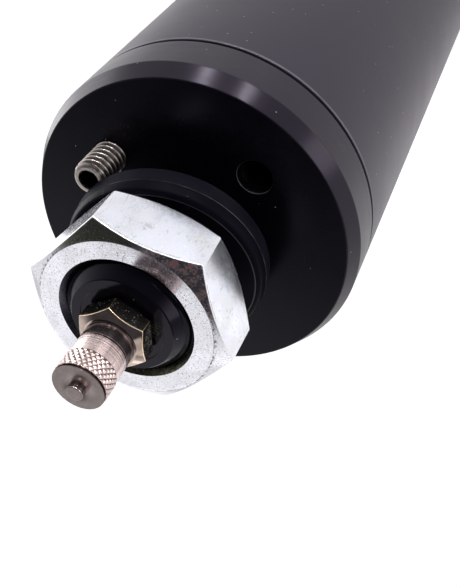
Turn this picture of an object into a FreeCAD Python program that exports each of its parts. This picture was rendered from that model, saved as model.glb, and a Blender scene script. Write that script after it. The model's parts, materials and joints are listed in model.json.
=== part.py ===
import FreeCAD, Part
import math
import os

# Hydraulic bump stop, stem mounted, millimetres.
# The origin is the centre of the end cap's mounting face and +Z runs up the stem.
# The shaft hangs below at full extension and the part stands on its strike pad.

# Body
body_radius = 31.75
bore_radius = 28.575
tube_length = 152.4
seam_depth = 11.45
seam_bevel = 0.35
rim_rounding = 0.6
tube_foot_bevel = 1.2

# End cap
face_radius = 30.18
face_bevel_height = 3.1
spigot_clearance = 0.06
spigot_length = 26.0
spigot_bevel = 1.0
recess_radius = 21.0
recess_depth = 15.5
recess_corner = 2.0
gas_passage_radius = 2.0

# Mounting stem, for a 7/8 inch thread
stem_radius = 11.1125
stem_length = 27.65
stem_end_radius = 9.16
stem_end_bevel_height = 2.35
stem_relief_radius = 9.7
stem_relief_height = 2.4
stem_relief_slope = 1.2
spot_face_radius = 7.4
spot_face_depth = 0.15

# Index holes and screw, for a 1/4 inch thread, also used by a pin spanner
index_circle_radius = 19.4
index_hole_radius = 3.2
index_hole_depth = 16.9
index_hole_bevel = 0.3
spare_hole_azimuth = 0.0
index_screw_azimuth = 90.0
index_screw_radius = 3.14
index_screw_length = 15.875
index_screw_height = 8.3
index_screw_tip_bevel = 0.55
index_screw_point_radius = 1.9
index_socket_across_flats = 3.175
index_socket_depth = 4.2

# Loose washers, leaning on the index screw
washer_radius = 18.2
washer_bore_radius = 12.25
isolator_thickness = 3.2
clamp_washer_thickness = 2.3
clamp_washer_rounding = 1.3
washer_lean = 8.5
washer_lean_azimuth = 98.0
washer_offset = 0.6
washer_offset_azimuth = 192.0
washer_stack_height = 8.95

# Jam nut
jam_nut_across_flats = 32.3
jam_nut_thickness = 11.8
jam_nut_top = 26.2
jam_nut_corner_azimuth = 57.1
jam_nut_bore_radius = 11.19
jam_nut_mouth_radius = 12.1
jam_nut_face_radius = 15.45
nut_bevel_angle = 33.0

# Charging valve, nickel-plated brass with a tapered pipe thread
valve_hex_across_flats = 11.1
valve_hex_low = 28.1
valve_hex_high = 31.9
valve_hex_corner_azimuth = 42.0
valve_hex_face_radius = 4.7
valve_hex_bevel_angle = 31.0
valve_pipe_top_radius = 5.0
valve_pipe_tip_radius = 4.7
valve_pipe_low = 18.6
valve_pipe_clearance = 0.03
valve_pocket_low = 17.0
valve_neck_radius = 4.33
valve_neck_high = 34.65
valve_neck_foot = 0.3
valve_neck_rounding = 0.35
valve_thread_radius = 3.87
valve_thread_high = 40.3
valve_thread_bevel = 0.4
valve_chamber_radius = 2.6
valve_chamber_low = 25.5
valve_drill_radius = 1.5

# Valve core and pin
core_radius = 2.55
core_low = 30.6
core_high = 39.8
core_spring_pocket_radius = 1.8
core_spring_pocket_low = 33.4
core_pin_bore_radius = 0.95
core_seal_height = 1.2
core_seal_radius = 2.2
pin_radius = 0.75
pin_high = 40.1
pin_collar_radius = 1.6
pin_collar_high = 38.6
pin_collar_height = 0.8
pin_head_radius = 2.0
pin_head_low = 26.9
pin_head_gap = 0.05
spring_wire_radius = 0.2
spring_coil_radius = 1.3
spring_turns = 5
spring_runs_per_turn = 12
spring_wire_sides = 8

# Valve cap
cap_sleeve_radius = 4.36
cap_sleeve_low = 34.8
cap_knurl_radius = 4.55
cap_knurl_low = 38.3
cap_knurl_high = 42.0
cap_knurl_bevel = 0.12
cap_end_radius = 4.38
cap_end_height = 42.4
cap_thread_radius = 3.94
cap_roof_height = 41.35
cap_pip_radius = 1.42
cap_pip_height = 43.7
cap_moat_radius = 2.6
cap_moat_depth = 0.2
gasket_radius = 3.85
gasket_low = 40.36
gasket_high = 41.3

# O-rings on the bore
o_ring_groove_width = 3.4
o_ring_groove_floor = 26.3
o_ring_bore_gap = 0.01
o_ring_side_gap = 0.3

# Seal head with its bushing, seal and wiper, lowest face first
seal_head_low = -158.0
seal_head_high = -126.0
seal_head_bore_radius = 19.6
seal_head_bevel = 1.0
bushing_outer_radius = 21.0
bushing_low = -143.5
bushing_high = -128.5
seal_outer_radius = 23.6
seal_low = -151.0
seal_high = -145.5
seal_notch_depth = 2.2
wiper_outer_radius = 23.0
wiper_low = -158.0
wiper_high = -153.5
wiper_lip_drop = 1.4
seal_head_o_ring_height = -136.0

# Retaining ring that holds the seal head in the tube
retaining_ring_thickness = 2.0
retaining_ring_inner_radius = 25.6
retaining_ring_outer_radius = 29.7
retaining_groove_clearance = 0.1
retaining_ring_gap_angle = 24.0

# Top-out bumper on the seal head
bumper_inner_radius = 20.0
bumper_outer_radius = 26.5
bumper_height = 4.6
bumper_bevel = 1.2

# Shaft
shaft_radius = 19.05
shaft_clearance = 0.05
shaft_shoulder = -120.9
shaft_low = -234.0
shaft_bevel = 1.0
shaft_thread_radius = 8.0
shaft_thread_high = -88.0
shaft_thread_bevel = 1.2

# Piston, shims and nut
piston_low = -119.7
piston_height = 16.0
piston_radius = 28.2
piston_bevel = 0.8
piston_recess_depth = 1.2
piston_recess_inner = 19.6
piston_recess_outer = 25.9
piston_port_count = 6
piston_port_radius = 2.3
piston_port_circle = 22.75
piston_bore_clearance = 0.02
band_floor_radius = 26.7
band_width = 8.0
band_bore_gap = 0.045
band_floor_gap = 0.02
band_split = 1.0
band_split_angle = 30.0
shim_thickness = 0.4
compression_shim_radii = (22.0, 24.2, 26.3)
rebound_shim_radii = (26.3, 22.0, 17.0)
shim_washer_radius = 14.0
shim_washer_thickness = 3.0
piston_nut_across_flats = 24.0
piston_nut_thickness = 10.0
piston_nut_face_radius = 11.2

# Strike plate, pad and screw at the foot
plate_radius = 25.0
plate_high = -231.0
plate_low = -242.0
plate_bevel = 1.5
plate_register_clearance = 0.05
pad_radius = 28.0
pad_rim_high = -237.0
pad_low = -262.0
pad_foot_rounding = 5.0
pad_rim_rounding = 1.0
pad_screw_radius = 5.0
pad_screw_head_radius = 10.0
pad_screw_length = 26.0
pad_screw_socket_across_flats = 6.0
pad_screw_socket_depth = 3.6
screw_hole_clearance = 0.4

# Tool shapes
drill_point_ratio = 0.6
overcut = 1.0
match_tolerance = 1e-4

# Heights that follow from the dimensions above
seam = -seam_depth
tube_low = seam - tube_length
cap_low = seam - spigot_length
recess_roof = cap_low + recess_depth
spigot_radius = bore_radius - spigot_clearance
cap_groove_low = cap_low + o_ring_groove_width
jam_nut_low = jam_nut_top - jam_nut_thickness
washer_stack_thickness = isolator_thickness + clamp_washer_thickness
piston_high = piston_low + piston_height
axis_point = FreeCAD.Vector(0, 0, 0)
up = FreeCAD.Vector(0, 0, 1)


def turned(profile, angle=360):
    """Solid swept about Z by a closed outline of (radius, height) points."""
    corners = [FreeCAD.Vector(radius, 0, height) for radius, height in profile]
    outline = Part.makePolygon(corners + corners[:1])
    return Part.Face(outline).revolve(axis_point, up, angle)


def ring(inner, outer, low, high):
    """Plain ring or sleeve."""
    return turned([(inner, low), (outer, low), (outer, high), (inner, high)])


def rod(radius, low, high):
    """Plain cylinder on the axis."""
    return Part.makeCylinder(radius, high - low, FreeCAD.Vector(0, 0, low), up)


def cone(low_radius, high_radius, low, high):
    """Cone on the axis."""
    return Part.makeCone(low_radius, high_radius, high - low, FreeCAD.Vector(0, 0, low), up)


def around(radius, azimuth, height=0.0):
    """Point at a radius and an azimuth in degrees."""
    turn = math.radians(azimuth)
    return FreeCAD.Vector(radius * math.cos(turn), radius * math.sin(turn), height)


def hexagon(across_flats, low, high, corner_azimuth=0.0):
    """Hexagonal prism on the axis."""
    corner_radius = across_flats / math.sqrt(3)
    corners = [around(corner_radius, corner_azimuth + 60 * step, low) for step in range(6)]
    outline = Part.makePolygon(corners + corners[:1])
    return Part.Face(outline).extrude(FreeCAD.Vector(0, 0, high - low))


def rounded(shape, size, circles):
    """Shape with its circular edges at the given (radius, height) pairs filleted."""
    chosen = []
    for edge in shape.Edges:
        if not isinstance(edge.Curve, Part.Circle):
            continue
        for radius, height in circles:
            same_radius = abs(edge.Curve.Radius - radius) < match_tolerance
            same_height = abs(edge.Curve.Center.z - height) < match_tolerance
            if same_radius and same_height:
                chosen.append(edge)
    return shape.makeFillet(size, chosen)


def bevelled_hexagon(across_flats, low, high, face_radius, angle, corner_azimuth, both_ends):
    """Hexagon whose corners are turned off by a cone at the top, and at the bottom if asked."""
    reach = across_flats
    drop = (reach - face_radius) * math.tan(math.radians(angle))
    profile = [(0, high), (face_radius, high), (reach, high - drop)]
    if both_ends:
        profile += [(reach, low + drop), (face_radius, low), (0, low)]
    else:
        profile += [(reach, low), (0, low)]
    return hexagon(across_flats, low, high, corner_azimuth).common(turned(profile))


def socket(across_flats, mouth, depth, corner_azimuth=0.0):
    """Hexagonal key socket with a drilled cone at its floor."""
    floor = mouth - depth
    drill = across_flats / 2
    point = cone(0, drill, floor - drill * drill_point_ratio, floor)
    return hexagon(across_flats, floor, mouth, corner_azimuth).fuse(point)


def index_hole(azimuth):
    """Blind tapped hole in the mounting face, with a bevelled mouth and a drill point."""
    floor = -index_hole_depth
    mouth = index_hole_radius + index_hole_bevel
    point = index_hole_radius * drill_point_ratio
    hole = rod(index_hole_radius, floor, overcut)
    hole = hole.fuse(cone(index_hole_radius, mouth, -index_hole_bevel, 0))
    hole = hole.fuse(cone(0, index_hole_radius, floor - point, floor))
    hole.translate(around(index_circle_radius, azimuth))
    return hole


def end_cap():
    """Cap, spigot and mounting stem turned from one bar, then drilled."""
    groove_high = cap_groove_low + o_ring_groove_width
    stem_bevel_low = stem_length - stem_end_bevel_height
    cap = turned([
        (0, recess_roof),
        (recess_radius - recess_corner, recess_roof),
        (recess_radius, recess_roof - recess_corner),
        (recess_radius, cap_low),
        (spigot_radius - spigot_bevel, cap_low),
        (spigot_radius, cap_low + spigot_bevel),
        (spigot_radius, cap_groove_low),
        (o_ring_groove_floor, cap_groove_low),
        (o_ring_groove_floor, groove_high),
        (spigot_radius, groove_high),
        (spigot_radius, seam),
        (body_radius - seam_bevel, seam),
        (body_radius, seam + seam_bevel),
        (body_radius, -face_bevel_height),
        (face_radius, 0),
        (stem_relief_radius, 0),
        (stem_relief_radius, stem_relief_height),
        (stem_radius, stem_relief_height + stem_relief_slope),
        (stem_radius, stem_bevel_low),
        (stem_end_radius, stem_length),
        (spot_face_radius, stem_length),
        (spot_face_radius, stem_length - spot_face_depth),
        (0, stem_length - spot_face_depth),
    ])
    pocket_tip = valve_pipe_tip_radius + valve_pipe_clearance
    pocket_top = valve_pipe_top_radius + valve_pipe_clearance
    pocket = cone(pocket_tip, pocket_top, valve_pipe_low, valve_hex_low)
    pocket = pocket.fuse(rod(pocket_tip, valve_pocket_low, valve_pipe_low))
    cap = cap.cut(pocket)
    cap = cap.cut(rod(gas_passage_radius, recess_roof - overcut, valve_pocket_low + overcut))
    cap = cap.cut(index_hole(spare_hole_azimuth))
    return cap.cut(index_hole(index_screw_azimuth))


def bore_o_ring(groove_low):
    """O-ring pressed between a groove's floor and the bore, so its section is an eight-sided oval."""
    outer = bore_radius - o_ring_bore_gap
    inner = o_ring_groove_floor + o_ring_bore_gap
    middle = groove_low + o_ring_groove_width / 2
    half_height = o_ring_groove_width / 2 - o_ring_side_gap
    corner = (outer - inner) / 3
    return turned([
        (inner, middle - half_height + corner),
        (inner + corner, middle - half_height),
        (outer - corner, middle - half_height),
        (outer, middle - half_height + corner),
        (outer, middle + half_height - corner),
        (outer - corner, middle + half_height),
        (inner + corner, middle + half_height),
        (inner, middle + half_height - corner),
    ])


def body_tube():
    """Tube with a rounded top rim and a groove for the retaining ring."""
    groove_high = seal_head_low
    groove_low = seal_head_low - retaining_ring_thickness - retaining_groove_clearance
    groove_radius = retaining_ring_outer_radius + retaining_groove_clearance
    tube = turned([
        (bore_radius, seam),
        (bore_radius, groove_high),
        (groove_radius, groove_high),
        (groove_radius, groove_low),
        (bore_radius, groove_low),
        (bore_radius, tube_low + tube_foot_bevel),
        (bore_radius + tube_foot_bevel, tube_low),
        (body_radius - tube_foot_bevel, tube_low),
        (body_radius, tube_low + tube_foot_bevel),
        (body_radius, seam),
    ])
    return rounded(tube, rim_rounding, [(body_radius, seam)])


def index_screw():
    """Socket set screw, socket end outwards."""
    foot = index_screw_height - index_screw_length
    point_height = index_screw_radius - index_screw_point_radius
    screw = turned([
        (0, foot),
        (index_screw_point_radius, foot),
        (index_screw_radius, foot + point_height),
        (index_screw_radius, index_screw_height - index_screw_tip_bevel),
        (index_screw_radius - index_screw_tip_bevel, index_screw_height),
        (0, index_screw_height),
    ])
    screw = screw.cut(socket(index_socket_across_flats, index_screw_height, index_socket_depth))
    screw.translate(around(index_circle_radius, index_screw_azimuth))
    return screw


def leaned(shape):
    """Washer of a stack centred on the origin, moved to where the stack leans on the index screw."""
    hinge = around(1, washer_lean_azimuth - 90)
    shape.rotate(axis_point, hinge, washer_lean)
    shape.translate(around(washer_offset, washer_offset_azimuth, washer_stack_height))
    return shape


def isolator_washer():
    """Die-cut rubber washer at the bottom of the stack."""
    low = -washer_stack_thickness / 2
    return leaned(ring(washer_bore_radius, washer_radius, low, low + isolator_thickness))


def clamp_washer():
    """Stamped steel washer at the top of the stack, with its rolled edge upwards."""
    high = washer_stack_thickness / 2
    washer = ring(washer_bore_radius, washer_radius, high - clamp_washer_thickness, high)
    return leaned(rounded(washer, clamp_washer_rounding, [(washer_radius, high)]))


def jam_nut():
    """Thin hexagon nut bevelled on both sides, with countersunk mouths."""
    nut = bevelled_hexagon(
        jam_nut_across_flats, jam_nut_low, jam_nut_top, jam_nut_face_radius, nut_bevel_angle,
        jam_nut_corner_azimuth, True)
    mouth_depth = jam_nut_mouth_radius - jam_nut_bore_radius
    nut = nut.cut(rod(jam_nut_bore_radius, jam_nut_low, jam_nut_top))
    nut = nut.cut(cone(jam_nut_bore_radius, jam_nut_mouth_radius, jam_nut_top - mouth_depth, jam_nut_top))
    return nut.cut(cone(jam_nut_mouth_radius, jam_nut_bore_radius, jam_nut_low, jam_nut_low + mouth_depth))


def valve_body():
    """Pipe thread, hexagon, neck and cap thread of the charging valve, drilled for its core."""
    valve = bevelled_hexagon(
        valve_hex_across_flats, valve_hex_low, valve_hex_high, valve_hex_face_radius, valve_hex_bevel_angle,
        valve_hex_corner_azimuth, False)
    valve = valve.fuse(cone(valve_pipe_tip_radius, valve_pipe_top_radius, valve_pipe_low, valve_hex_low))
    stalk = turned([
        (0, valve_hex_low),
        (valve_neck_radius + valve_neck_foot, valve_hex_low),
        (valve_neck_radius + valve_neck_foot, valve_hex_high),
        (valve_neck_radius, valve_hex_high + valve_neck_foot),
        (valve_neck_radius, valve_neck_high - valve_neck_rounding),
        (valve_neck_radius - valve_neck_rounding, valve_neck_high),
        (valve_thread_radius, valve_neck_high),
        (valve_thread_radius, valve_thread_high - valve_thread_bevel),
        (valve_thread_radius - valve_thread_bevel, valve_thread_high),
        (0, valve_thread_high),
    ])
    valve = valve.fuse(stalk)
    valve = valve.cut(rod(valve_chamber_radius, valve_chamber_low, valve_thread_high))
    return valve.cut(rod(valve_drill_radius, valve_pipe_low, valve_chamber_low)).removeSplitter()


def valve_core():
    """Barrel of the valve core, with a pocket for the pin's spring."""
    return turned([
        (core_pin_bore_radius, core_low),
        (core_radius, core_low),
        (core_radius, core_high),
        (core_spring_pocket_radius, core_high),
        (core_spring_pocket_radius, core_spring_pocket_low),
        (core_pin_bore_radius, core_spring_pocket_low),
    ])


def valve_core_seal():
    """Rubber washer under the barrel that the pin's head closes on."""
    return ring(core_pin_bore_radius, core_seal_radius, core_low - core_seal_height, core_low)


def valve_pin():
    """Pin with a spring collar near its top and a sealing head at its foot."""
    head_high = core_low - core_seal_height - pin_head_gap
    collar_low = pin_collar_high - pin_collar_height
    return turned([
        (0, pin_head_low),
        (pin_head_radius / 2, pin_head_low),
        (pin_head_radius, head_high - pin_head_radius / 2),
        (pin_head_radius, head_high),
        (pin_radius, head_high),
        (pin_radius, collar_low),
        (pin_collar_radius, collar_low),
        (pin_collar_radius, pin_collar_high),
        (pin_radius, pin_collar_high),
        (pin_radius, pin_high),
        (0, pin_high),
    ])


def valve_pin_spring():
    """Coil spring between the barrel's ledge and the pin's collar, wound in short straight runs."""
    low = core_spring_pocket_low + spring_wire_radius
    high = pin_collar_high - pin_collar_height - spring_wire_radius
    runs = spring_turns * spring_runs_per_turn
    points = []
    for step in range(runs + 1):
        height = low + (high - low) * step / runs
        points.append(around(spring_coil_radius, 360 * step / spring_runs_per_turn, height))
    wire = Part.Circle(points[0], points[1] - points[0], spring_wire_radius)
    corners = [wire.value(2 * math.pi * side / spring_wire_sides) for side in range(spring_wire_sides)]
    section = Part.makePolygon(corners + corners[:1])
    mitred = 1
    return Part.makePolygon(points).makePipeShell([section], True, False, mitred)


def valve_cap():
    """Screw cap with a plain sleeve, a band for the knurl and a pip on its end."""
    moat_floor = cap_end_height - cap_moat_depth
    return turned([
        (cap_thread_radius, cap_sleeve_low),
        (cap_sleeve_radius, cap_sleeve_low),
        (cap_sleeve_radius, cap_knurl_low),
        (cap_knurl_radius - cap_knurl_bevel, cap_knurl_low),
        (cap_knurl_radius, cap_knurl_low + cap_knurl_bevel),
        (cap_knurl_radius, cap_knurl_high - cap_knurl_bevel),
        (cap_knurl_radius - cap_knurl_bevel, cap_knurl_high),
        (cap_end_radius, cap_end_height),
        (cap_moat_radius, cap_end_height),
        (cap_pip_radius, moat_floor),
        (cap_pip_radius, cap_pip_height),
        (0, cap_pip_height),
        (0, cap_roof_height),
        (cap_thread_radius, cap_roof_height),
    ])


def valve_cap_gasket():
    """Rubber disc under the cap's roof."""
    return rod(gasket_radius, gasket_low, gasket_high)


def seal_head():
    """Gland bored for the bushing, the shaft seal and the wiper."""
    groove_low = seal_head_o_ring_height
    groove_high = groove_low + o_ring_groove_width
    return turned([
        (seal_head_bore_radius, seal_head_high),
        (seal_head_bore_radius, bushing_high),
        (bushing_outer_radius, bushing_high),
        (bushing_outer_radius, bushing_low),
        (seal_head_bore_radius, bushing_low),
        (seal_head_bore_radius, seal_high),
        (seal_outer_radius, seal_high),
        (seal_outer_radius, seal_low),
        (seal_head_bore_radius, seal_low),
        (seal_head_bore_radius, wiper_high),
        (wiper_outer_radius, wiper_high),
        (wiper_outer_radius, wiper_low),
        (spigot_radius - seal_head_bevel, seal_head_low),
        (spigot_radius, seal_head_low + seal_head_bevel),
        (spigot_radius, groove_low),
        (o_ring_groove_floor, groove_low),
        (o_ring_groove_floor, groove_high),
        (spigot_radius, groove_high),
        (spigot_radius, seal_head_high - seal_head_bevel),
        (spigot_radius - seal_head_bevel, seal_head_high),
    ])


def shaft_bushing():
    """Plain bearing sleeve."""
    return ring(shaft_radius + shaft_clearance, bushing_outer_radius, bushing_low, bushing_high)


def shaft_seal():
    """U-cup seal with its notch towards the pressure."""
    inner = shaft_radius + shaft_clearance
    middle = (inner + seal_outer_radius) / 2
    return turned([
        (inner, seal_low),
        (seal_outer_radius, seal_low),
        (seal_outer_radius, seal_high),
        ((middle + seal_outer_radius) / 2, seal_high),
        (middle, seal_high - seal_notch_depth),
        ((middle + inner) / 2, seal_high),
        (inner, seal_high),
    ])


def shaft_wiper():
    """Scraper whose lip stands below the seal head."""
    inner = shaft_radius + shaft_clearance
    middle = (inner + wiper_outer_radius) / 2
    return turned([
        (inner, wiper_low - wiper_lip_drop),
        (middle, wiper_low),
        (wiper_outer_radius, wiper_low),
        (wiper_outer_radius, wiper_high),
        (inner, wiper_high),
    ])


def retaining_ring():
    """Split ring in the tube's groove, under the seal head."""
    high = seal_head_low
    low = high - retaining_ring_thickness
    closed_angle = 360 - retaining_ring_gap_angle
    return turned([
        (retaining_ring_inner_radius, low),
        (retaining_ring_outer_radius, low),
        (retaining_ring_outer_radius, high),
        (retaining_ring_inner_radius, high),
    ], closed_angle)


def top_out_bumper():
    """Cushion ring on the seal head that the piston meets at full extension."""
    high = seal_head_high + bumper_height
    return turned([
        (bumper_inner_radius, seal_head_high),
        (bumper_outer_radius, seal_head_high),
        (bumper_outer_radius, high - bumper_bevel),
        (bumper_outer_radius - bumper_bevel, high),
        (bumper_inner_radius + bumper_bevel, high),
        (bumper_inner_radius, high - bumper_bevel),
    ])


def shaft():
    """Chromed rod with a threaded end for the piston and a tapped foot."""
    rod_shape = turned([
        (0, shaft_low),
        (shaft_radius - shaft_bevel, shaft_low),
        (shaft_radius, shaft_low + shaft_bevel),
        (shaft_radius, shaft_shoulder),
        (shaft_thread_radius, shaft_shoulder),
        (shaft_thread_radius, shaft_thread_high - shaft_thread_bevel),
        (shaft_thread_radius - shaft_thread_bevel, shaft_thread_high),
        (0, shaft_thread_high),
    ])
    tapped_depth = pad_screw_length - (shaft_low - plate_low)
    hole_top = shaft_low + tapped_depth + pad_screw_radius
    point_top = hole_top + pad_screw_radius * drill_point_ratio
    hole = rod(pad_screw_radius, shaft_low, hole_top)
    return rod_shape.cut(hole.fuse(cone(pad_screw_radius, 0, hole_top, point_top)))


def piston():
    """Piston with a groove for its band, shallow faces for the shims and a ring of ports."""
    band_low = piston_low + (piston_height - band_width) / 2
    band_high = band_low + band_width
    bore = shaft_thread_radius + piston_bore_clearance
    body = turned([
        (bore, piston_low),
        (piston_radius - piston_bevel, piston_low),
        (piston_radius, piston_low + piston_bevel),
        (piston_radius, band_low),
        (band_floor_radius, band_low),
        (band_floor_radius, band_high),
        (piston_radius, band_high),
        (piston_radius, piston_high - piston_bevel),
        (piston_radius - piston_bevel, piston_high),
        (bore, piston_high),
    ])
    low_recess = piston_low + piston_recess_depth
    high_recess = piston_high - piston_recess_depth
    body = body.cut(ring(piston_recess_inner, piston_recess_outer, piston_low, low_recess))
    body = body.cut(ring(piston_recess_inner, piston_recess_outer, high_recess, piston_high))
    for step in range(piston_port_count):
        port = rod(piston_port_radius, piston_low, piston_high)
        port.translate(around(piston_port_circle, 360 / piston_port_count * step))
        body = body.cut(port)
    return body


def piston_band():
    """Split bearing band, cut on a slant."""
    low = piston_low + (piston_height - band_width) / 2
    outer = bore_radius - band_bore_gap
    inner = band_floor_radius + band_floor_gap
    band = ring(inner, outer, low, low + band_width)
    reach = 2 * bore_radius
    blade = Part.makeBox(bore_radius, band_split, reach)
    blade.translate(FreeCAD.Vector(0, -band_split / 2, -reach / 2))
    blade.rotate(axis_point, FreeCAD.Vector(1, 0, 0), band_split_angle)
    blade.translate(FreeCAD.Vector(0, 0, low + band_width / 2))
    return band.cut(blade)


def shim_stack(radii, low):
    """Thin spring-steel discs, one on another from the lowest up."""
    discs = []
    for step, radius in enumerate(radii):
        disc_low = low + step * shim_thickness
        disc_high = disc_low + shim_thickness
        discs.append(ring(shaft_thread_radius + piston_bore_clearance, radius, disc_low, disc_high))
    return Part.makeCompound(discs)


def shim_washer(low):
    """Backing washer between the rebound shims and the nut."""
    inner = shaft_thread_radius + piston_bore_clearance
    return ring(inner, shim_washer_radius, low, low + shim_washer_thickness)


def piston_nut(low):
    """Hexagon nut that clamps the piston on the shaft."""
    high = low + piston_nut_thickness
    nut = bevelled_hexagon(
        piston_nut_across_flats, low, high, piston_nut_face_radius, nut_bevel_angle, 0.0, True)
    return nut.cut(rod(shaft_thread_radius + piston_bore_clearance, low, high))


def strike_plate():
    """Plate that locates on the shaft's foot, countersunk for its screw from below."""
    plate = turned([
        (0, plate_low),
        (plate_radius, plate_low),
        (plate_radius, plate_high - plate_bevel),
        (plate_radius - plate_bevel, plate_high),
        (0, plate_high),
    ])
    plate = plate.cut(rod(shaft_radius + plate_register_clearance, shaft_low, plate_high))
    plate = plate.cut(rod(pad_screw_radius + screw_hole_clearance, plate_low, shaft_low))
    return plate.cut(cone(pad_screw_head_radius, 0, plate_low, plate_low + pad_screw_head_radius))


def pad_screw():
    """Countersunk socket screw up through the plate into the shaft."""
    shank_low = plate_low + pad_screw_head_radius - pad_screw_radius
    screw = cone(pad_screw_head_radius, pad_screw_radius, plate_low, shank_low)
    screw = screw.fuse(rod(pad_screw_radius, shank_low, plate_low + pad_screw_length))
    key = hexagon(pad_screw_socket_across_flats, plate_low, plate_low + pad_screw_socket_depth)
    return screw.cut(key).removeSplitter()


def strike_pad():
    """Moulded cup that grips the plate and meets the axle."""
    pad = turned([
        (0, pad_low),
        (pad_radius, pad_low),
        (pad_radius, pad_rim_high),
        (plate_radius, pad_rim_high),
        (plate_radius, plate_low),
        (0, plate_low),
    ])
    pad = rounded(pad, pad_foot_rounding, [(pad_radius, pad_low)])
    return rounded(pad, pad_rim_rounding, [(pad_radius, pad_rim_high)])


rebound_low = piston_high
shim_washer_low = rebound_low + shim_thickness * len(rebound_shim_radii)
piston_nut_low = shim_washer_low + shim_washer_thickness
nodes = {
    "end_cap": end_cap(),
    "end_cap_o_ring": bore_o_ring(cap_groove_low),
    "body_tube": body_tube(),
    "index_screw": index_screw(),
    "isolator_washer": isolator_washer(),
    "clamp_washer": clamp_washer(),
    "jam_nut": jam_nut(),
    "valve_body": valve_body(),
    "valve_core": valve_core(),
    "valve_core_seal": valve_core_seal(),
    "valve_pin": valve_pin(),
    "valve_pin_spring": valve_pin_spring(),
    "valve_cap": valve_cap(),
    "valve_cap_gasket": valve_cap_gasket(),
    "seal_head": seal_head(),
    "seal_head_o_ring": bore_o_ring(seal_head_o_ring_height),
    "shaft_bushing": shaft_bushing(),
    "shaft_seal": shaft_seal(),
    "shaft_wiper": shaft_wiper(),
    "retaining_ring": retaining_ring(),
    "top_out_bumper": top_out_bumper(),
    "shaft": shaft(),
    "piston": piston(),
    "piston_band": piston_band(),
    "compression_shims": shim_stack(compression_shim_radii, shaft_shoulder),
    "rebound_shims": shim_stack(rebound_shim_radii, rebound_low),
    "shim_washer": shim_washer(shim_washer_low),
    "piston_nut": piston_nut(piston_nut_low),
    "strike_plate": strike_plate(),
    "strike_pad": strike_pad(),
    "pad_screw": pad_screw(),
}
os.makedirs("parts", exist_ok=True)
for name, shape in nodes.items():
    shape.exportStep(f"parts/{name}.step")
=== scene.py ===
# %% [markdown]
# # Dressing a hydraulic bump stop
# A bump stop is a short, gas-charged shock absorber that catches a truck's axle at the end of its travel.
# The machined model is already exact, but it is plain: no threads, no knurl, no finish.
# This lesson loads it as a fixed frame and makes each piece that shows again, with its small shapes and
# its surface, in the same place and at the same size.

# %% Load the frame
import json
import math
import bmesh
import bpy
from mathutils import Matrix, Vector, noise


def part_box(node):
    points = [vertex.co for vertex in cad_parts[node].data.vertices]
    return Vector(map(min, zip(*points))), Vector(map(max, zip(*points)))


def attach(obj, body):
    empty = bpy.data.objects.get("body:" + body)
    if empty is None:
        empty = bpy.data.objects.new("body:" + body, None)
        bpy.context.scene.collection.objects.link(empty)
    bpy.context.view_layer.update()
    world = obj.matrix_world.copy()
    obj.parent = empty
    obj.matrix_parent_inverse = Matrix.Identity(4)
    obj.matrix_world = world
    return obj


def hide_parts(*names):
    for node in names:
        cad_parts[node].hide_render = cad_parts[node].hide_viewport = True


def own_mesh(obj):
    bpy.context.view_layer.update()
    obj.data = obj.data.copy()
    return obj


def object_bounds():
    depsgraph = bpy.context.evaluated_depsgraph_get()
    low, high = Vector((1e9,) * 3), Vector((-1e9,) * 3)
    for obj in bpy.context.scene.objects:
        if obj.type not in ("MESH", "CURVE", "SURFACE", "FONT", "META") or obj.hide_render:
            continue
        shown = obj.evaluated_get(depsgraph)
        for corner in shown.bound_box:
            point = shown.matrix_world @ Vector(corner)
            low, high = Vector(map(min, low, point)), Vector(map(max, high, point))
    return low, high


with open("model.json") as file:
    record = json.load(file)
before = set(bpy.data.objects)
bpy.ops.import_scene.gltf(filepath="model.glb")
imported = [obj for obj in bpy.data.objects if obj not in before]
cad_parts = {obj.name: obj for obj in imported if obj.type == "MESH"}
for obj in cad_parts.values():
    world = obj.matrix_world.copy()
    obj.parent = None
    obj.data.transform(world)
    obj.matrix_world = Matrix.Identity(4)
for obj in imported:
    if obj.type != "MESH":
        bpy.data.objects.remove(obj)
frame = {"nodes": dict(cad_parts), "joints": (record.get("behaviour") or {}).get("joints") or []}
cad_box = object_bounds()
MM = 0.001
FULL_TURN = 2 * math.pi


def heights(node):
    """Lowest and highest point of a CAD node, in millimetres."""
    return [corner.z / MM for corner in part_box(node)]


def polar(radius, azimuth, height):
    """Point at a radius and an azimuth, in the units given."""
    return Vector((radius * math.cos(azimuth), radius * math.sin(azimuth), height))


def new_object(name, data):
    """Adds an object to the scene."""
    made = bpy.data.objects.new(name, data)
    bpy.context.scene.collection.objects.link(made)
    return made


# %% [markdown]
# ## Arithmetic on sockets
# A material or a geometry tree is a chain of nodes, and its maths is easier to read as a formula than as a
# list of links. The class below wraps one output socket. Adding, multiplying or comparing such a wire adds
# the Math node that does it, and one method makes any other node from its settings and inputs.

# %% A wire that does arithmetic
def feed(node, label, value):
    """Links a wire to an input of a node, or sets a plain value there."""
    if isinstance(value, Wire):
        value.tree.links.new(value.socket, node.inputs[label])
    else:
        node.inputs[label].default_value = value


def operator(operation):
    """Method of a wire that adds the Math node of an operator."""
    return lambda wire, other: wire.maths(operation, other)


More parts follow.
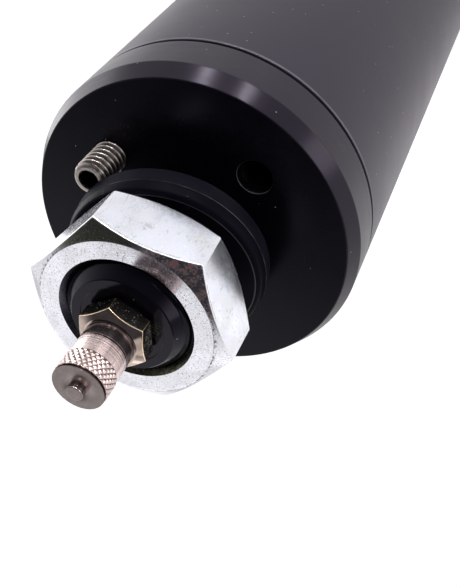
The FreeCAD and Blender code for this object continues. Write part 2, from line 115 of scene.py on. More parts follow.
class Wire:
    """One output socket of a node tree."""
    __add__ = __radd__ = operator("ADD")
    __sub__ = operator("SUBTRACT")
    __mul__ = __rmul__ = operator("MULTIPLY")
    __truediv__ = operator("DIVIDE")
    __gt__ = operator("GREATER_THAN")
    __lt__ = operator("LESS_THAN")

    def __init__(self, tree, socket):
        self.tree = tree
        self.socket = socket

    def node(self, kind, settings=None, inputs=None, output=0):
        """Adds a node of any kind: its settings first, then the values or wires of its inputs."""
        made = self.tree.nodes.new(kind)
        for name, value in (settings or {}).items():
            setattr(made, name, value)
        for name, value in (inputs or {}).items():
            feed(made, name, value)
        return Wire(self.tree, made.outputs[output])

    def maths(self, operation, *others):
        """Math node with this wire as its first value."""
        return self.node("ShaderNodeMath", {"operation": operation}, dict(enumerate((self, *others))))

    def __rsub__(self, other):
        return self.node("ShaderNodeMath", {"operation": "SUBTRACT"}, {0: other, 1: self})

    def xyz(self):
        """The three parts of a vector."""
        first = self.node("ShaderNodeSeparateXYZ", None, {0: self})
        return [Wire(self.tree, socket) for socket in first.socket.node.outputs]

    def vector(self, x, y, z):
        return self.node("ShaderNodeCombineXYZ", None, {0: x, 1: y, 2: z})

    def scaled(self, factors):
        """A vector times a vector, part by part."""
        return self.node("ShaderNodeVectorMath", {"operation": "MULTIPLY"}, {0: self, 1: factors})

    def distance(self, point):
        """How far a vector is from a fixed point."""
        return self.node("ShaderNodeVectorMath", {"operation": "DISTANCE"}, {0: self, 1: point}, 1)

    def ramp(self, low, high, start=0.0, end=1.0):
        """Eases from start to end as the wire goes from low to high."""
        inputs = {"Value": self, "From Min": low, "From Max": high, "To Min": start, "To Max": end}
        return self.node("ShaderNodeMapRange", {"interpolation_type": "SMOOTHSTEP"}, inputs)

    def blend(self, first, second):
        """Mixes two colours, with this wire as the share of the second."""
        first, second = (part if isinstance(part, Wire) else (*part, 1) for part in (first, second))
        return self.node("ShaderNodeMix", {"data_type": "RGBA"}, {0: self, 6: first, 7: second}, 2)

    def tint(self, low, high):
        """Two colours mixed by a noise, over the middle of its range."""
        return self.ramp(0.3, 0.7).blend(low, high)

    def cloud(self, scale, detail=3.0, rough=0.5):
        """Soft noise between 0 and 1 over a vector."""
        inputs = {"Vector": self, "Scale": scale, "Detail": detail, "Roughness": rough}
        return self.node("ShaderNodeTexNoise", None, inputs)


print("wire: ready")

# %% [markdown]
# ## The camera
# The photograph looks down on the stem from 42 degrees off the axis, close up, so the far end of the tube
# runs out of the picture. The place comes from the circles of the end cap and the sides of the body. Writing
# it as a distance, an angle off the axis and a roll keeps the numbers few and readable.

# %% Camera at the photograph's place
camera_distance = 160.03 * MM
camera_off_axis = math.radians(42.057)
camera_azimuth = math.radians(12.0)
camera_roll = math.radians(-149.793)
camera_lens = 53.03
aim_radius = 15.03 * MM
aim_azimuth = math.radians(-104.77)
flat_distance = camera_distance * math.sin(camera_off_axis)
camera_place = polar(flat_distance, camera_azimuth, camera_distance * math.cos(camera_off_axis))
aim = polar(aim_radius, aim_azimuth, 0.0)
camera = new_object("camera", bpy.data.cameras.new("camera"))
camera.data.lens = camera_lens
camera.data.clip_start = 0.01
level = (aim - camera_place).to_track_quat("-Z", "Y").to_matrix().to_4x4()
camera.matrix_world = Matrix.Translation(camera_place) @ level @ Matrix.Rotation(camera_roll, 4, "Z")
bpy.context.scene.camera = camera
print("camera:", [round(part / MM, 1) for part in camera_place], "mm, lens", camera_lens)

# %% [markdown]
# ## How a finish is written
# A finish is a recipe: from a place on the piece, in millimetres, it works out what each socket of the shader
# gets. One function turns such a recipe into a maker of materials. Small differences in roughness do most of
# the work on metal, and the other helpers make the marks that carry them: bumps, specks and scratches.

# %% Helpers for finishes
def finish(recipe):
    """Turns a recipe, which gives a shader's sockets for a place, into a maker of materials."""

    def make(name, *values, **named):
        material = bpy.data.materials.new(name)
        material.use_nodes = True
        nodes = material.node_tree.nodes
        metres = Wire(material.node_tree, nodes.new("ShaderNodeTexCoord").outputs["Object"])
        place = metres.scaled((1 / MM, 1 / MM, 1 / MM))
        for label, value in recipe(place, *values, **named).items():
            feed(nodes["Principled BSDF"], label, value)
        return material

    return make


def radius_of(place, axis=(0, 0, 0)):
    """Distance from an upright axis, which is the part's own if none is given."""
    return place.scaled((1, 1, 0)).distance(axis)


def bumped(height, depth):
    """Normal of a surface that rises by depth millimetres where the height is 1."""
    return height.node("ShaderNodeBump", None, {"Strength": 1.0, "Distance": depth * MM, "Height": height})


def surface(tone, roughness, metallic, relief=None, depth=0.0):
    """Sockets that most finishes set. The relief is the height of a bump, and depth its millimetres."""
    sockets = {"Base Color": tone, "Roughness": roughness, "Metallic": metallic}
    if relief:
        sockets["Normal"] = bumped(relief, depth)
    return sockets


def sheen(specular):
    """Sockets of the weak purple shine on black surfaces."""
    return {"Specular IOR Level": specular, "Specular Tint": (1.0, 0.9, 1.13, 1)}


def specks(place, cells_per_mm, size, share):
    """Small round marks, in only a share of the cells."""
    inputs = {"Vector": place, "Scale": cells_per_mm, "Randomness": 1.0}
    distance = place.node("ShaderNodeTexVoronoi", {"feature": "F1"}, inputs)
    chance = Wire(place.tree, distance.socket.node.outputs["Color"]).xyz()[0]
    return distance.ramp(size, size * 0.6) * (chance < share)


def scratches(place, turn_by, length, width, amount):
    """Fine straight marks in one direction."""
    turned_place = place.node("ShaderNodeMapping", None, {"Vector": place, "Rotation": turn_by})
    streaks = turned_place.scaled((1 / length, 1 / width, 1 / width)).cloud(1.0, 2.0, 0.6)
    return streaks.ramp(1 - amount, 1 - amount + 0.06)


SEALANT_PLACE = (4.2, -4.0, 28.2)


def crumbs(place):
    """Where thread sealant has been squeezed out beside the charging valve."""
    return place.distance(SEALANT_PLACE).ramp(2.6, 1.3) * place.cloud(2.6, 4.0, 0.7).ramp(0.5, 0.6)


print("finishes: helpers ready")

# %% [markdown]
# ## The stage
# Black anodised metal and bright plating only look right when they have something plain to mirror. The
# floor glows a little, like a light table, so it stays pale under the part. The room is pale near the
# horizon and dark overhead, and soft lamps stand where the photograph's metal shows light.

# %% Floor, room and lamps
floor_height = cad_box[0].z
floor_half = 40.0
# Tint of the pink-tinted light painted on the floor.
PAINTED_ROSY_TINT = (1.0, 0.86, 0.97)


@finish
def glowing_paper(place):
    """Pale paper on a light table, with a painted soft shadow round the part and painted patches of brighter
    and pink-tinted light where the metal mirrors it.
    """

    def spot(x, y, inner, outer, start, end):
        return place.distance((x, y, floor_height / MM)).ramp(inner, outer, start, end)

    # Painted shadow: the floor is darker round the part, like a soft contact shadow.
    painted_shadow = spot(50, -45, 0, 190, 0.5, 1.0)
    # The glow is stronger out to about a metre, then a darker ring is painted for the metal to mirror, and it
    # rises again far away.
    near = spot(0, 0, 450, 800, 1.0, 1.3) * spot(0, 0, 1000, 2000, 1.0, 0.4)
    far = spot(0, 0, 2500, 8000, 0.0, 0.9)
    # Painted light: brighter patches, and a pink-tinted one, where the metal mirrors the floor.
    painted_light_pools = spot(71, -266, 50, 140, 0.2, 0.0) + spot(-125, 172, 20, 75, 0.45, 0.0)
    painted_rosy_light = spot(-25, -130, 10, 110, 0.65, 0.0)
    white = near * painted_shadow + far + painted_light_pools
    return {
        "Base Color": place.cloud(0.03).blend((0.78, 0.78, 0.78), (0.82, 0.82, 0.82)),
        "Roughness": 0.9,
        "Specular IOR Level": 0.0,
        "Emission Color": white.vector(*[white + painted_rosy_light * share for share in PAINTED_ROSY_TINT]),
        "Emission Strength": 0.72,
    }


floor_corners = [(x * floor_half, y * floor_half, floor_height)
                 for x, y in ((-1, -1), (1, -1), (1, 1), (-1, 1))]
floor_mesh = bpy.data.meshes.new("floor")
floor_mesh.from_pydata(floor_corners, [], [(0, 1, 2, 3)])
floor_mesh.materials.append(glowing_paper("pale_floor"))
floor = new_object("floor", floor_mesh)

room = bpy.data.worlds.new("room")
room.use_nodes = True
bpy.context.scene.world = room
sky = Wire(room.node_tree, room.node_tree.nodes.new("ShaderNodeTexCoord").outputs["Generated"])
sky_colour = sky.xyz()[2].ramp(0.1, 0.62).blend((1.0, 1.0, 1.02), (0.07, 0.07, 0.085))
feed(room.node_tree.nodes["Background"], "Color", sky_colour)


def lamp(name, azimuth, elevation, distance, size, radiance, spread=180):
    """Soft lamp that faces the end cap, as bright as a card of that radiance. Angles are in degrees.
    A spread under 180 is a honeycomb grid in front of it, which keeps the light off the floor."""
    elevation = math.radians(elevation)
    half_spread = math.radians(spread / 2)
    light = bpy.data.lights.new(name, "AREA")
    light.shape = "RECTANGLE"
    light.size, light.size_y = size
    light.spread = 2 * half_spread
    grid_share = 1 - half_spread / math.tan(half_spread)
    light.energy = radiance * math.pi * size[0] * size[1] * grid_share
    place = polar(math.cos(elevation), math.radians(azimuth), math.sin(elevation)) * distance
    turn_to_cap = place.to_track_quat("Z", "Y").to_matrix().to_4x4()
    lamp_object = new_object(name, light)
    lamp_object.matrix_world = Matrix.Translation(place) @ turn_to_cap
    lamp_object.visible_camera = False


lamp("key_lamp", 197, 29, 0.7, (0.8, 0.48), 0.98)
lamp("left_card", 126, -38, 0.42, (0.35, 0.32), 3.0)
lamp("right_card", -22, -6, 0.6, (0.2, 0.2), 4.2)
lamp("low_card", 254, 38, 0.6, (0.28, 0.5), 0.72)
lamp("stem_card", -38, 28, 0.6, (0.4, 0.14), 2.0)
lamp("first_streak", 51, -2, 0.6, (0.034, 0.3), 46.0, 50)
lamp("second_streak", 28, -2, 0.6, (0.03, 0.3), 46.0, 50)
bpy.context.scene.view_settings.view_transform = "Standard"
print("stage: floor at", round(floor_height / MM, 1), "mm")

# %% [markdown]
# ## Turning on the lathe
# Nearly every piece of this object comes off a lathe, so one function turns them all: it takes stations
# across the section and swings them round the axis. A station is a radius and a height, or a function of the
# azimuth, which is how a hexagon is turned like any other shape. Sharp corners look like a toy, so a second
# function eases each corner with a short curve before the turning. A guard station on both sides of the curve
# keeps the shading of the flat faces flat.

# %% Turning and easing
GUARD = 0.12


def curve(start, corner, end, share):
    """Point of the curve that eases a corner."""
    return start.lerp(corner, share).lerp(corner.lerp(end, share), share)


def eased(corners, steps=3):
    """Outline with its corners eased. A corner is (radius, height, how far from it the easing starts).
    An outline that isn't a closed loop starts and ends with corners that aren't eased."""
    outline = []
    count = len(corners)
    for index, (radius, height, ease) in enumerate(corners):
        here = Vector((radius, height))
        if not ease:
            outline.append((radius, height))
            continue
        before = Vector(corners[index - 1][:2]) - here
        after = Vector(corners[(index + 1) % count][:2]) - here
        start = here + before.normalized() * ease
        end = here + after.normalized() * ease
        first_guard = start + before.normalized() * min(GUARD, 0.2 * (before.length - ease))
        last_guard = end + after.normalized() * min(GUARD, 0.2 * (after.length - ease))
        rounding = [curve(start, here, end, step / steps) for step in range(steps + 1)]
        outline += [(point.x, point.y) for point in [first_guard, *rounding, last_guard]]
    return outline


def straight(first, last, count):
    """Stations along a straight run, without the last one."""
    run, rise = last[0] - first[0], last[1] - first[1]
    return [(first[0] + run * step / count, first[1] + rise * step / count) for step in range(count)]


def even_angles(count):
    return [FULL_TURN * step / count for step in range(count)]


def add_turned(mesh, stations, angles, slot_at=None):
    """Adds a turned shell to a bmesh, in millimetres. Stations at radius 0 become poles, and slot_at gives
    the material slot of a face from its radius, height and azimuth."""
    rings = []
    for station in stations:
        if not callable(station) and station[0] == 0:
            rings.append([mesh.verts.new((0, 0, station[1] * MM))])
            continue
        ring = []
        for angle in angles:
            radius, height = station(angle) if callable(station) else station
            ring.append(mesh.verts.new(polar(radius * MM, angle, height * MM)))
        rings.append(ring)
    pairs = list(zip(rings, rings[1:]))
    if len(rings[0]) > 1:
        pairs.append((rings[-1], rings[0]))
    sides = len(angles)
    for low, high in pairs:
        for step in range(sides):
            following = (step + 1) % sides
            corners = [low[step % len(low)], low[following % len(low)],
                       high[following % len(high)], high[step % len(high)]]
            face = mesh.faces.new(list(dict.fromkeys(corners)))
            if slot_at:
                x, y, height = face.calc_center_median() / MM
                face.material_index = slot_at(math.hypot(x, y), height, math.atan2(y, x))


def shade(data, crease):
    """Smooth shading, but for level faces and for edges sharper than the crease angle."""
    data.set_sharp_from_angle(angle=math.radians(crease))
    data.polygons.foreach_set("use_smooth", [abs(face.normal.z) < 0.99999 for face in data.polygons])


def piece_from(mesh, name, materials, crease=32.0):
    """Closes a bmesh into a piece with its materials."""
    bmesh.ops.remove_doubles(mesh, verts=mesh.verts, dist=1e-7)
    bmesh.ops.recalc_face_normals(mesh, faces=mesh.faces)
    data = bpy.data.meshes.new(name)
    mesh.to_mesh(data)
    mesh.free()
    for material in materials:
        data.materials.append(material)
    shade(data, crease)
    return new_object(name, data)


def turned_piece(name, stations, angles, materials, slot_at=None, crease=32.0):
    """Piece that is one turned shell."""
    mesh = bmesh.new()
    add_turned(mesh, stations, angles, slot_at)
    return piece_from(mesh, name, materials, crease)


def hand_over(made, body, node):
    """Lets a finished piece ride on its body in the place of its node."""
    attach(made, body)
    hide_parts(node)
    print(made.name + ":", len(made.data.polygons), "faces")


print("lathe: ready")

# %% [markdown]
# ## Cutting threads with a geometry tree
# A thread is one rule: the radius rises and falls with the height, and the pattern climbs one pitch in each
# turn. Geometry Nodes can apply that rule to any turned surface with enough rows. Outside, the surface keeps
# the smaller of its own radius and the thread's, which lets the thread run out over a bevel as a real one
# does. Inside, it keeps the larger.

# %% The thread tree
def new_tree(name, numbers, counts=()):
    """Geometry tree with named inputs: returns it with its input wires and its input identifiers."""
    tree = bpy.data.node_groups.new(name, "GeometryNodeTree")
    tree.interface.new_socket(name="Geometry", in_out="OUTPUT", socket_type="NodeSocketGeometry")
    kinds = {"Geometry": "Geometry", "Material": "Material"}
    kinds |= dict.fromkeys(counts, "Int") | dict.fromkeys(numbers, "Float")
    identifiers = {}
    for label, kind in kinds.items():
        made = tree.interface.new_socket(name=label, in_out="INPUT", socket_type="NodeSocket" + kind)
        identifiers[label] = made.identifier
    group = tree.nodes.new("NodeGroupInput")
    wires = {label: Wire(tree, group.outputs[label]) for label in kinds}
    return tree, wires, identifiers


def end_tree(geometry, material, chosen=None):
    """Realizes the instances, sets the material and joins the output of the wires' tree."""
    real = geometry.node("GeometryNodeRealizeInstances", None, {0: geometry})
    inputs = {"Geometry": real, "Material": material}
    if chosen:
        inputs["Selection"] = chosen
    painted = real.node("GeometryNodeSetMaterial", None, inputs)
    feed(geometry.tree.nodes.new("NodeGroupOutput"), "Geometry", painted)


THREAD_FLAT_SHARE = 0.05
thread_tree, turn, thread_inputs = new_tree(
    "cut_thread", ["Pitch", "Crest Radius", "Root Radius", "Low", "High", "Inside"])
spot = turn["Pitch"].node("GeometryNodeInputPosition")
spot_x, spot_y, spot_z = spot.xyz()
own_radius = (spot_x * spot_x + spot_y * spot_y).maths("SQRT")
turned_share = spot_y.maths("ARCTAN2", spot_x) / FULL_TURN
phase = (spot_z / turn["Pitch"] - turned_share).maths("FRACT")
ridge = (phase * 2 - 1).maths("ABSOLUTE").ramp(THREAD_FLAT_SHARE, 1 - THREAD_FLAT_SHARE)
thread_radius = turn["Root Radius"] + (turn["Crest Radius"] - turn["Root Radius"]) * ridge
outer_radius = own_radius.maths("MINIMUM", thread_radius)
inner_radius = own_radius.maths("MAXIMUM", thread_radius)
cut_radius = outer_radius + (inner_radius - outer_radius) * turn["Inside"]
in_reach = (spot_z > turn["Low"]) * (spot_z < turn["High"])
growth = 1 + (cut_radius / own_radius.maths("MAXIMUM", 1e-7) - 1) * in_reach
new_spot = spot.vector(spot_x * growth, spot_y * growth, spot_z)
threaded = spot.node("GeometryNodeSetPosition", None, {"Geometry": turn["Geometry"], "Position": new_spot})
near_thread = (own_radius < turn["Crest Radius"] * 1.01) * (own_radius > turn["Root Radius"] * 0.99)
end_tree(threaded, turn["Material"], in_reach * near_thread)


def keep_result(made, modifier):
    """Keeps what a modifier makes as the plain mesh of its piece."""
    bpy.context.view_layer.update()
    finished = made.evaluated_get(bpy.context.evaluated_depsgraph_get())
    data = bpy.data.meshes.new_from_object(finished)
    made.modifiers.remove(modifier)
    made.data = data


def apply_tree(made, tree, identifiers, values):
    """Runs a geometry tree on a piece."""
    modifier = made.modifiers.new(tree.name, "NODES")
    modifier.node_group = tree
    for label, value in values.items():
        modifier[identifiers[label]] = value
    keep_result(made, modifier)


def cut_thread(made, pitch, crest, root, low, high, material, inside=0.0):
    """Cuts a right-hand thread into a piece, sizes in millimetres."""
    apply_tree(made, thread_tree, thread_inputs, {
        "Pitch": pitch * MM, "Crest Radius": crest * MM, "Root Radius": root * MM, "Low": low * MM,
        "High": high * MM, "Inside": inside, "Material": material})


print("thread tree:", len(thread_tree.nodes), "nodes")

# %% [markdown]
# ## Black anodising
# Anodising grows a clear oxide on aluminium and dyes it, so the marks of the lathe stay. Rings in the
# roughness follow the height on a turned side and the radius on a faced end, which is how a tool leaves them.

# %% Black finishes
SEALANT = (0.055, 0.054, 0.032)
DUST = (0.8, 0.8, 0.8)


@finish
def black_anodise(place, colour, roughness, specular, marks, faced=False, anisotropy=0.0,
                  dust_share=0.35, sealed=False):
    """Dyed oxide over turned metal, with fine rings and a little dust."""
    track = radius_of(place) if faced else place.xyz()[2]
    rings = place.vector(track * 9, track * 0.4, 0.5).cloud(1.0, 4.0, 0.7)
    smear = place.cloud(0.09, 4.0, 0.6)
    dust = specks(place, 0.5, 0.06, dust_share)
    tone = smear.tint([part * 0.72 for part in colour], colour)
    if sealed:
        tone = crumbs(place).blend(tone, SEALANT)
    rough = roughness + (rings - 0.5) * marks + (smear - 0.5) * 0.12
    brushed = {"Anisotropic": anisotropy, "Anisotropic Rotation": 0.25}
    tone = (dust * 0.55).blend(tone, DUST)
    return surface(tone, rough, 0.0, rings, 0.012 * marks) | sheen(specular) | brushed


face_black = black_anodise("black_face", (0.0022, 0.0019, 0.0045), 0.28, 0.15, 0.02, faced=True,
                           dust_share=0.14)
band_black = black_anodise("black_turned_band", (0.009, 0.006, 0.0115), 0.3, 0.28, 0.16, anisotropy=0.8)
tube_black = black_anodise("black_tube", (0.0165, 0.0117, 0.0205), 0.4, 0.3, 0.06, anisotropy=0.2,
                           dust_share=0.9)
stem_black = black_anodise("black_stem", (0.003, 0.003, 0.006), 0.16, 0.2, 0.05, faced=True, sealed=True)
# A blacker, duller black painted as shade in the holes and in the seam.
recess_shade_black = black_anodise("black_hole", (0.001, 0.001, 0.0014), 0.5, 0.05, 0.05)
worn_edge = black_anodise("worn_edge", (0.012, 0.011, 0.014), 0.3, 0.5, 0.1)
# A lighter black, a highlight painted along the tube's rim.
rubbed_edge = black_anodise("rubbed_edge", (0.1, 0.097, 0.103), 0.35, 0.4, 0.1)
print("black finishes: 7")

# %% [markdown]
# ## Plating
# The nut is plated with zinc and the valve with nickel. Both are mirrors, so their colour is what they
# reflect, and a new one looks like glass. Pits, scratches, rings and old dirt make them metal again.

# %% Plated finishes
@finish
def zinc_plate(place, low, high, pit_share, roughness):
    """Bright zinc: a bluish mirror with pits, specks of dirt and fine scratches."""
    x, y, z = place.xyz()
    pits = specks(place, 2.2, 0.2, pit_share)
    dirt = specks(place, 5.0, 0.3, pit_share * 0.8)
    patches = place.cloud(0.22, 2.0, 0.5)
    grain = place.cloud(7.0, 3.0, 0.7)
    marks = scratches(place, (0.2, 0.1, 0.6), 3.5, 0.09, 0.37)
    marks = marks + scratches(place, (0.1, 0.3, -0.9), 5.0, 0.1, 0.36)
    arcs = place.vector(radius_of(place) * 7, y.maths("ARCTAN2", x) * 2, z * 0.5).cloud(1.0, 3.0, 0.6)
    tone = patches.ramp(0.35, 0.65).blend(low, high)
    tone = (grain.ramp(0.5, 0.75) * 0.35).blend(tone, (0.5, 0.5, 0.53))
    tone = (arcs.ramp(0.57, 0.66) * 0.3).blend(tone, (0.4, 0.4, 0.42))
    tone = (marks * 0.4).blend(tone, (0.34, 0.33, 0.33))
    tone = (dirt * 0.7).blend(tone, (0.16, 0.15, 0.15))
    tone = (pits * 0.85).blend(tone, (0.08, 0.075, 0.07))
    rough = roughness + (patches - 0.5) * 0.08 + (grain - 0.5) * 0.06 + pits * 0.2 + marks * 0.1
    return surface(tone, rough, 1.0, grain * 0.15 - marks * 0.3 - pits, 0.02)


@finish
def nickel_plate(place, low, high, roughness, ring_depth, dust_share=0.0, sealed=False):
    """Nickel over brass: a warm mirror with rings from the lathe, a few dark specks and some dust."""
    z = place.xyz()[2]
    rings = place.vector(z * 4.5, z * 0.3, 0.5).cloud(1.0, 4.0, 0.7)
    smear = place.scaled((0.8, 0.8, 0.12)).cloud(1.0, 4.0, 0.6)
    pits = specks(place, 3.0, 0.12, 0.12)
    dust = specks(place, 2.5, 0.19, dust_share)
    tone = (rings.ramp(0.54, 0.64) * 0.3).blend(smear.tint(low, high), low)
    tone = (pits * 0.6).blend(tone, (0.16, 0.13, 0.1))
    tone = dust.blend(tone, (0.3, 0.28, 0.25))
    if sealed:
        tone = crumbs(place).blend(tone, SEALANT)
        dust = dust.maths("MAXIMUM", crumbs(place))
    rough = roughness * (1 + (smear - 0.5) * 0.8 + (rings - 0.5) * 0.6) + dust * 0.4
    return surface(tone, rough, 1 - dust, rings, ring_depth)


@finish
def knurled_plate(place, valley, tip):
    """Nickel on the knurl, painted darker towards the grooves as their shade. Radii are in millimetres."""
    tone = radius_of(place).ramp(valley, tip).blend((0.12, 0.07, 0.06), (0.72, 0.585, 0.56))
    return surface(tone, 0.3 + (place.cloud(1.5, 3.0, 0.6) - 0.5) * 0.2, 1.0)


@finish
def passivated_bevel(place):
    """The nut's turned bevel: darker zinc, with two corners painted darker as dark reflections and tinted
    yellow-green and red by the passivate, and a red stain on the second.
    """
    x, y = place.xyz()[:2]
    patches = place.cloud(0.9, 3.0, 0.6)
    grain = place.cloud(4.0, 4.0, 0.75).ramp(0.48, 0.66)
    # Painted reflection: two corners of the bevel are darkened where they mirror dark things, and tinted by
    # the passivate.
    green_reflection_corner = (x * 0.543 + y * 0.84).ramp(13.0, 15.0)
    red_reflection_corner = (x * 0.999 - y * 0.052).ramp(13.0, 15.0)
    stain = place.cloud(0.6, 4.0, 0.7).ramp(0.48, 0.6) * red_reflection_corner * 0.85
    tone = grain.blend((0.78, 0.78, 0.82), (0.56, 0.56, 0.58))
    tone = green_reflection_corner.blend(tone, grain.blend((0.26, 0.27, 0.22), (0.5, 0.48, 0.26)))
    tone = red_reflection_corner.blend(tone, grain.blend((0.34, 0.31, 0.32), (0.5, 0.43, 0.42)))
    tone = stain.blend(tone, (0.16, 0.045, 0.04))
    rim = radius_of(place).ramp(16.0, 15.5) * place.cloud(1.6, 3.0, 0.6).ramp(0.48, 0.56)
    dirt = rim.maths("MAXIMUM", specks(place, 3.0, 0.24, 0.35))
    tone = (dirt * 0.85).blend(tone, (0.05, 0.045, 0.045))
    rough = 0.14 + grain * 0.08 + dirt * 0.2 + stain * 0.2
    return surface(tone, rough, 1 - stain * 0.8, patches * 0.3 + grain * 0.15 - dirt, 0.02)


@finish
def shaded_mouth_zinc(place):
    """The nut's thread and mouth: dull zinc darkened as painted shade, lighter and olive towards one side."""
    x, y = place.xyz()[:2]
    film = place.cloud(1.8, 4.0, 0.7)
    olive_side = (x * -0.64 - y * 0.77).ramp(3.0, 9.0)
    # Painted shade: the mouth and thread are dark, and lighter and olive towards one side.
    painted_shade_tone = film.blend((0.03, 0.03, 0.04), (0.1, 0.1, 0.12))
    olive_side_tone = film.ramp(0.4, 0.7).blend((0.07, 0.07, 0.05), (0.24, 0.23, 0.15))
    return surface(olive_side.blend(painted_shade_tone, olive_side_tone), 0.22 + film * 0.1, 1.0, film, 0.02)


zinc = zinc_plate("bright_zinc", (0.75, 0.75, 0.79), (0.86, 0.88, 0.97), 0.35, 0.16)
pitted_zinc = zinc_plate("pitted_zinc", (0.76, 0.755, 0.8), (0.89, 0.885, 0.94), 0.45, 0.08)
shaded_zinc = shaded_mouth_zinc("shaded_zinc")
bevel_zinc = passivated_bevel("passivated_bevel")
worn_zinc = nickel_plate("worn_zinc", (0.86, 0.86, 0.88), (0.96, 0.96, 0.98), 0.3, 0.003, 0.6)
worn_brass = nickel_plate("worn_brass", (0.9, 0.68, 0.42), (1.0, 0.82, 0.6), 0.28, 0.003)
polished_nickel = nickel_plate("polished_nickel", (0.46, 0.355, 0.3), (0.6, 0.48, 0.42), 0.1, 0.003)
# The hexagon's flats take a darker copy of this nickel, painted shade for their sides, with dust and sealant
# crumbs.
flat_nickel = nickel_plate("flat_nickel", (0.36, 0.32, 0.29), (0.46, 0.42, 0.38), 0.18, 0.003, 0.5,
                           sealed=True)
neck_nickel = nickel_plate("neck_nickel", (0.09, 0.073, 0.073), (0.18, 0.145, 0.145), 0.18, 0.01, 0.05)
# On the cap's sleeve the wide range of tone, stretched along the axis by the smear noise, paints vertical
# streaks of reflection.
turned_nickel = nickel_plate("turned_nickel", (0.5, 0.39, 0.37), (0.93, 0.74, 0.72), 0.2, 0.03)
dull_nickel = nickel_plate("dull_nickel", (0.19, 0.16, 0.153), (0.25, 0.21, 0.2), 0.3, 0.005)
# A very dark nickel painted as the shade in the groove under the cap's end.
groove_nickel = nickel_plate("groove_nickel", (0.035, 0.02, 0.02), (0.06, 0.035, 0.035), 0.4, 0.003)
knurl_nickel = knurled_plate("knurled_nickel", 4.365, 4.45)
print("plated finishes: 13")

# %% [markdown]
# ## Steel, rubber, chrome and plastic
# The rest are plainer. Each takes one or two soft noises, and uses them for the tone, the roughness and the
# relief at once, because on a real surface one cause, such as an oil film, changes all three together.

# %% Other finishes
# Colour of the painted shade in the roots of a thread.
THREAD_ROOT_SHADE = (0.1, 0.08, 0.07)


@finish
def oiled_steel(place, low, high, roughness=0.34, groove=None):
    """Plain steel with a brownish oil film. A groove is (axis, root radius, crest radius) of a thread, whose
    roots are painted darker as their shade.
    """
    film = place.cloud(1.2, 4.0, 0.6)
    tone = film.tint(low, high)
    if groove:
        axis, root, crest = groove
        tone = radius_of(place, axis).ramp(root, crest).blend(THREAD_ROOT_SHADE, tone)
    return surface(tone, roughness + (film - 0.5) * 0.2, 1.0)


@finish
def black_oxide(place):
    """Oiled black oxide on a stamped washer, with dust."""
    film = place.cloud(0.4, 4.0, 0.6)
    dust = specks(place, 0.7, 0.06, 0.3)
    tone = (dust * 0.7).blend((0.0025, 0.0025, 0.0048), (0.3, 0.3, 0.31))
    return surface(tone, 0.4 + (film - 0.5) * 0.16, 0.0, film, 0.01) | sheen(0.03)


@finish
def bloomed_rubber(place, low, high):
    """Rubber with a slight bloom."""
    bloom = place.cloud(0.2, 3.0, 0.6)
    tone = bloom.ramp(0.35, 0.75).blend(low, high)
    return surface(tone, 0.6 + (bloom - 0.5) * 0.2, 0.0, place.cloud(3.0, 4.0, 0.6), 0.03) | sheen(0.07)


@finish
def hard_chrome(place, low, high):
    """Ground and chromed rod: a mirror with the finest grinding marks."""
    x, y, z = place.xyz()
    grind = place.vector(z * 12, x * 0.5, y * 0.5).cloud(1.0, 3.0, 0.7)
    film = place.cloud(0.06, 3.0, 0.6)
    rough = 0.09 + (grind - 0.5) * 0.08 + (film - 0.5) * 0.05
    return surface(film.tint(low, high), rough, 1.0, grind, 0.002)


@finish
def plain_metal(place, low, high, roughness):
    """Turned metal with faint cutting marks, for the inner pieces."""
    rings = place.vector(place.xyz()[2] * 6, radius_of(place) * 6, 0.5).cloud(1.0, 3.0, 0.6)
    return surface(rings.tint(low, high), roughness + (rings - 0.5) * 0.2, 1.0, rings, 0.006)


@finish
def plain_plastic(place, low, high, roughness):
    """Moulded or turned plastic, for the seals and bands."""
    mottle = place.cloud(0.8, 4.0, 0.6)
    return surface(mottle.tint(low, high), roughness + (mottle - 0.5) * 0.15, 0.0, mottle, 0.02)


steel = oiled_steel("oiled_steel", (0.42, 0.37, 0.34), (0.56, 0.51, 0.48))
# Dark steel painted as the shade inside the screw's socket.
socket_shade_steel = oiled_steel("dark_socket", (0.03, 0.026, 0.025), (0.06, 0.052, 0.05))
oxide = black_oxide("black_oxide")
rubber = bloomed_rubber("black_rubber", (0.0035, 0.0033, 0.0065), (0.007, 0.0068, 0.0105))
# A lighter rubber painted as the highlight along the isolator's upper edge.
scuffed_rubber = bloomed_rubber("scuffed_rubber", (0.012, 0.012, 0.016), (0.09, 0.09, 0.1))
chrome = hard_chrome("hard_chrome", (0.5, 0.51, 0.53), (0.58, 0.59, 0.61))
aluminium = plain_metal("turned_aluminium", (0.66, 0.67, 0.69), (0.76, 0.77, 0.79), 0.3)
bronze = plain_metal("bushing_bronze", (0.42, 0.28, 0.14), (0.56, 0.38, 0.2), 0.4)
spring_steel = plain_metal("spring_steel", (0.36, 0.37, 0.39), (0.5, 0.51, 0.53), 0.3)
band_plastic = plain_plastic("bearing_band", (0.05, 0.09, 0.08), (0.09, 0.14, 0.12), 0.5)
seal_plastic = plain_plastic("seal_plastic", (0.015, 0.03, 0.075), (0.03, 0.05, 0.11), 0.45)
urethane = plain_plastic("black_urethane", (0.010, 0.010, 0.011), (0.021, 0.021, 0.022), 0.55)
print("other finishes: 12")

# %% [markdown]
# ## End cap and stem
# The cap and its threaded stem are one bar: faced, bevelled, turned down, threaded and drilled. The outline
# is turned with its edges eased, the thread tree cuts the stem, and two drills are taken out with a Boolean,
# because a hole off the axis can't be turned.

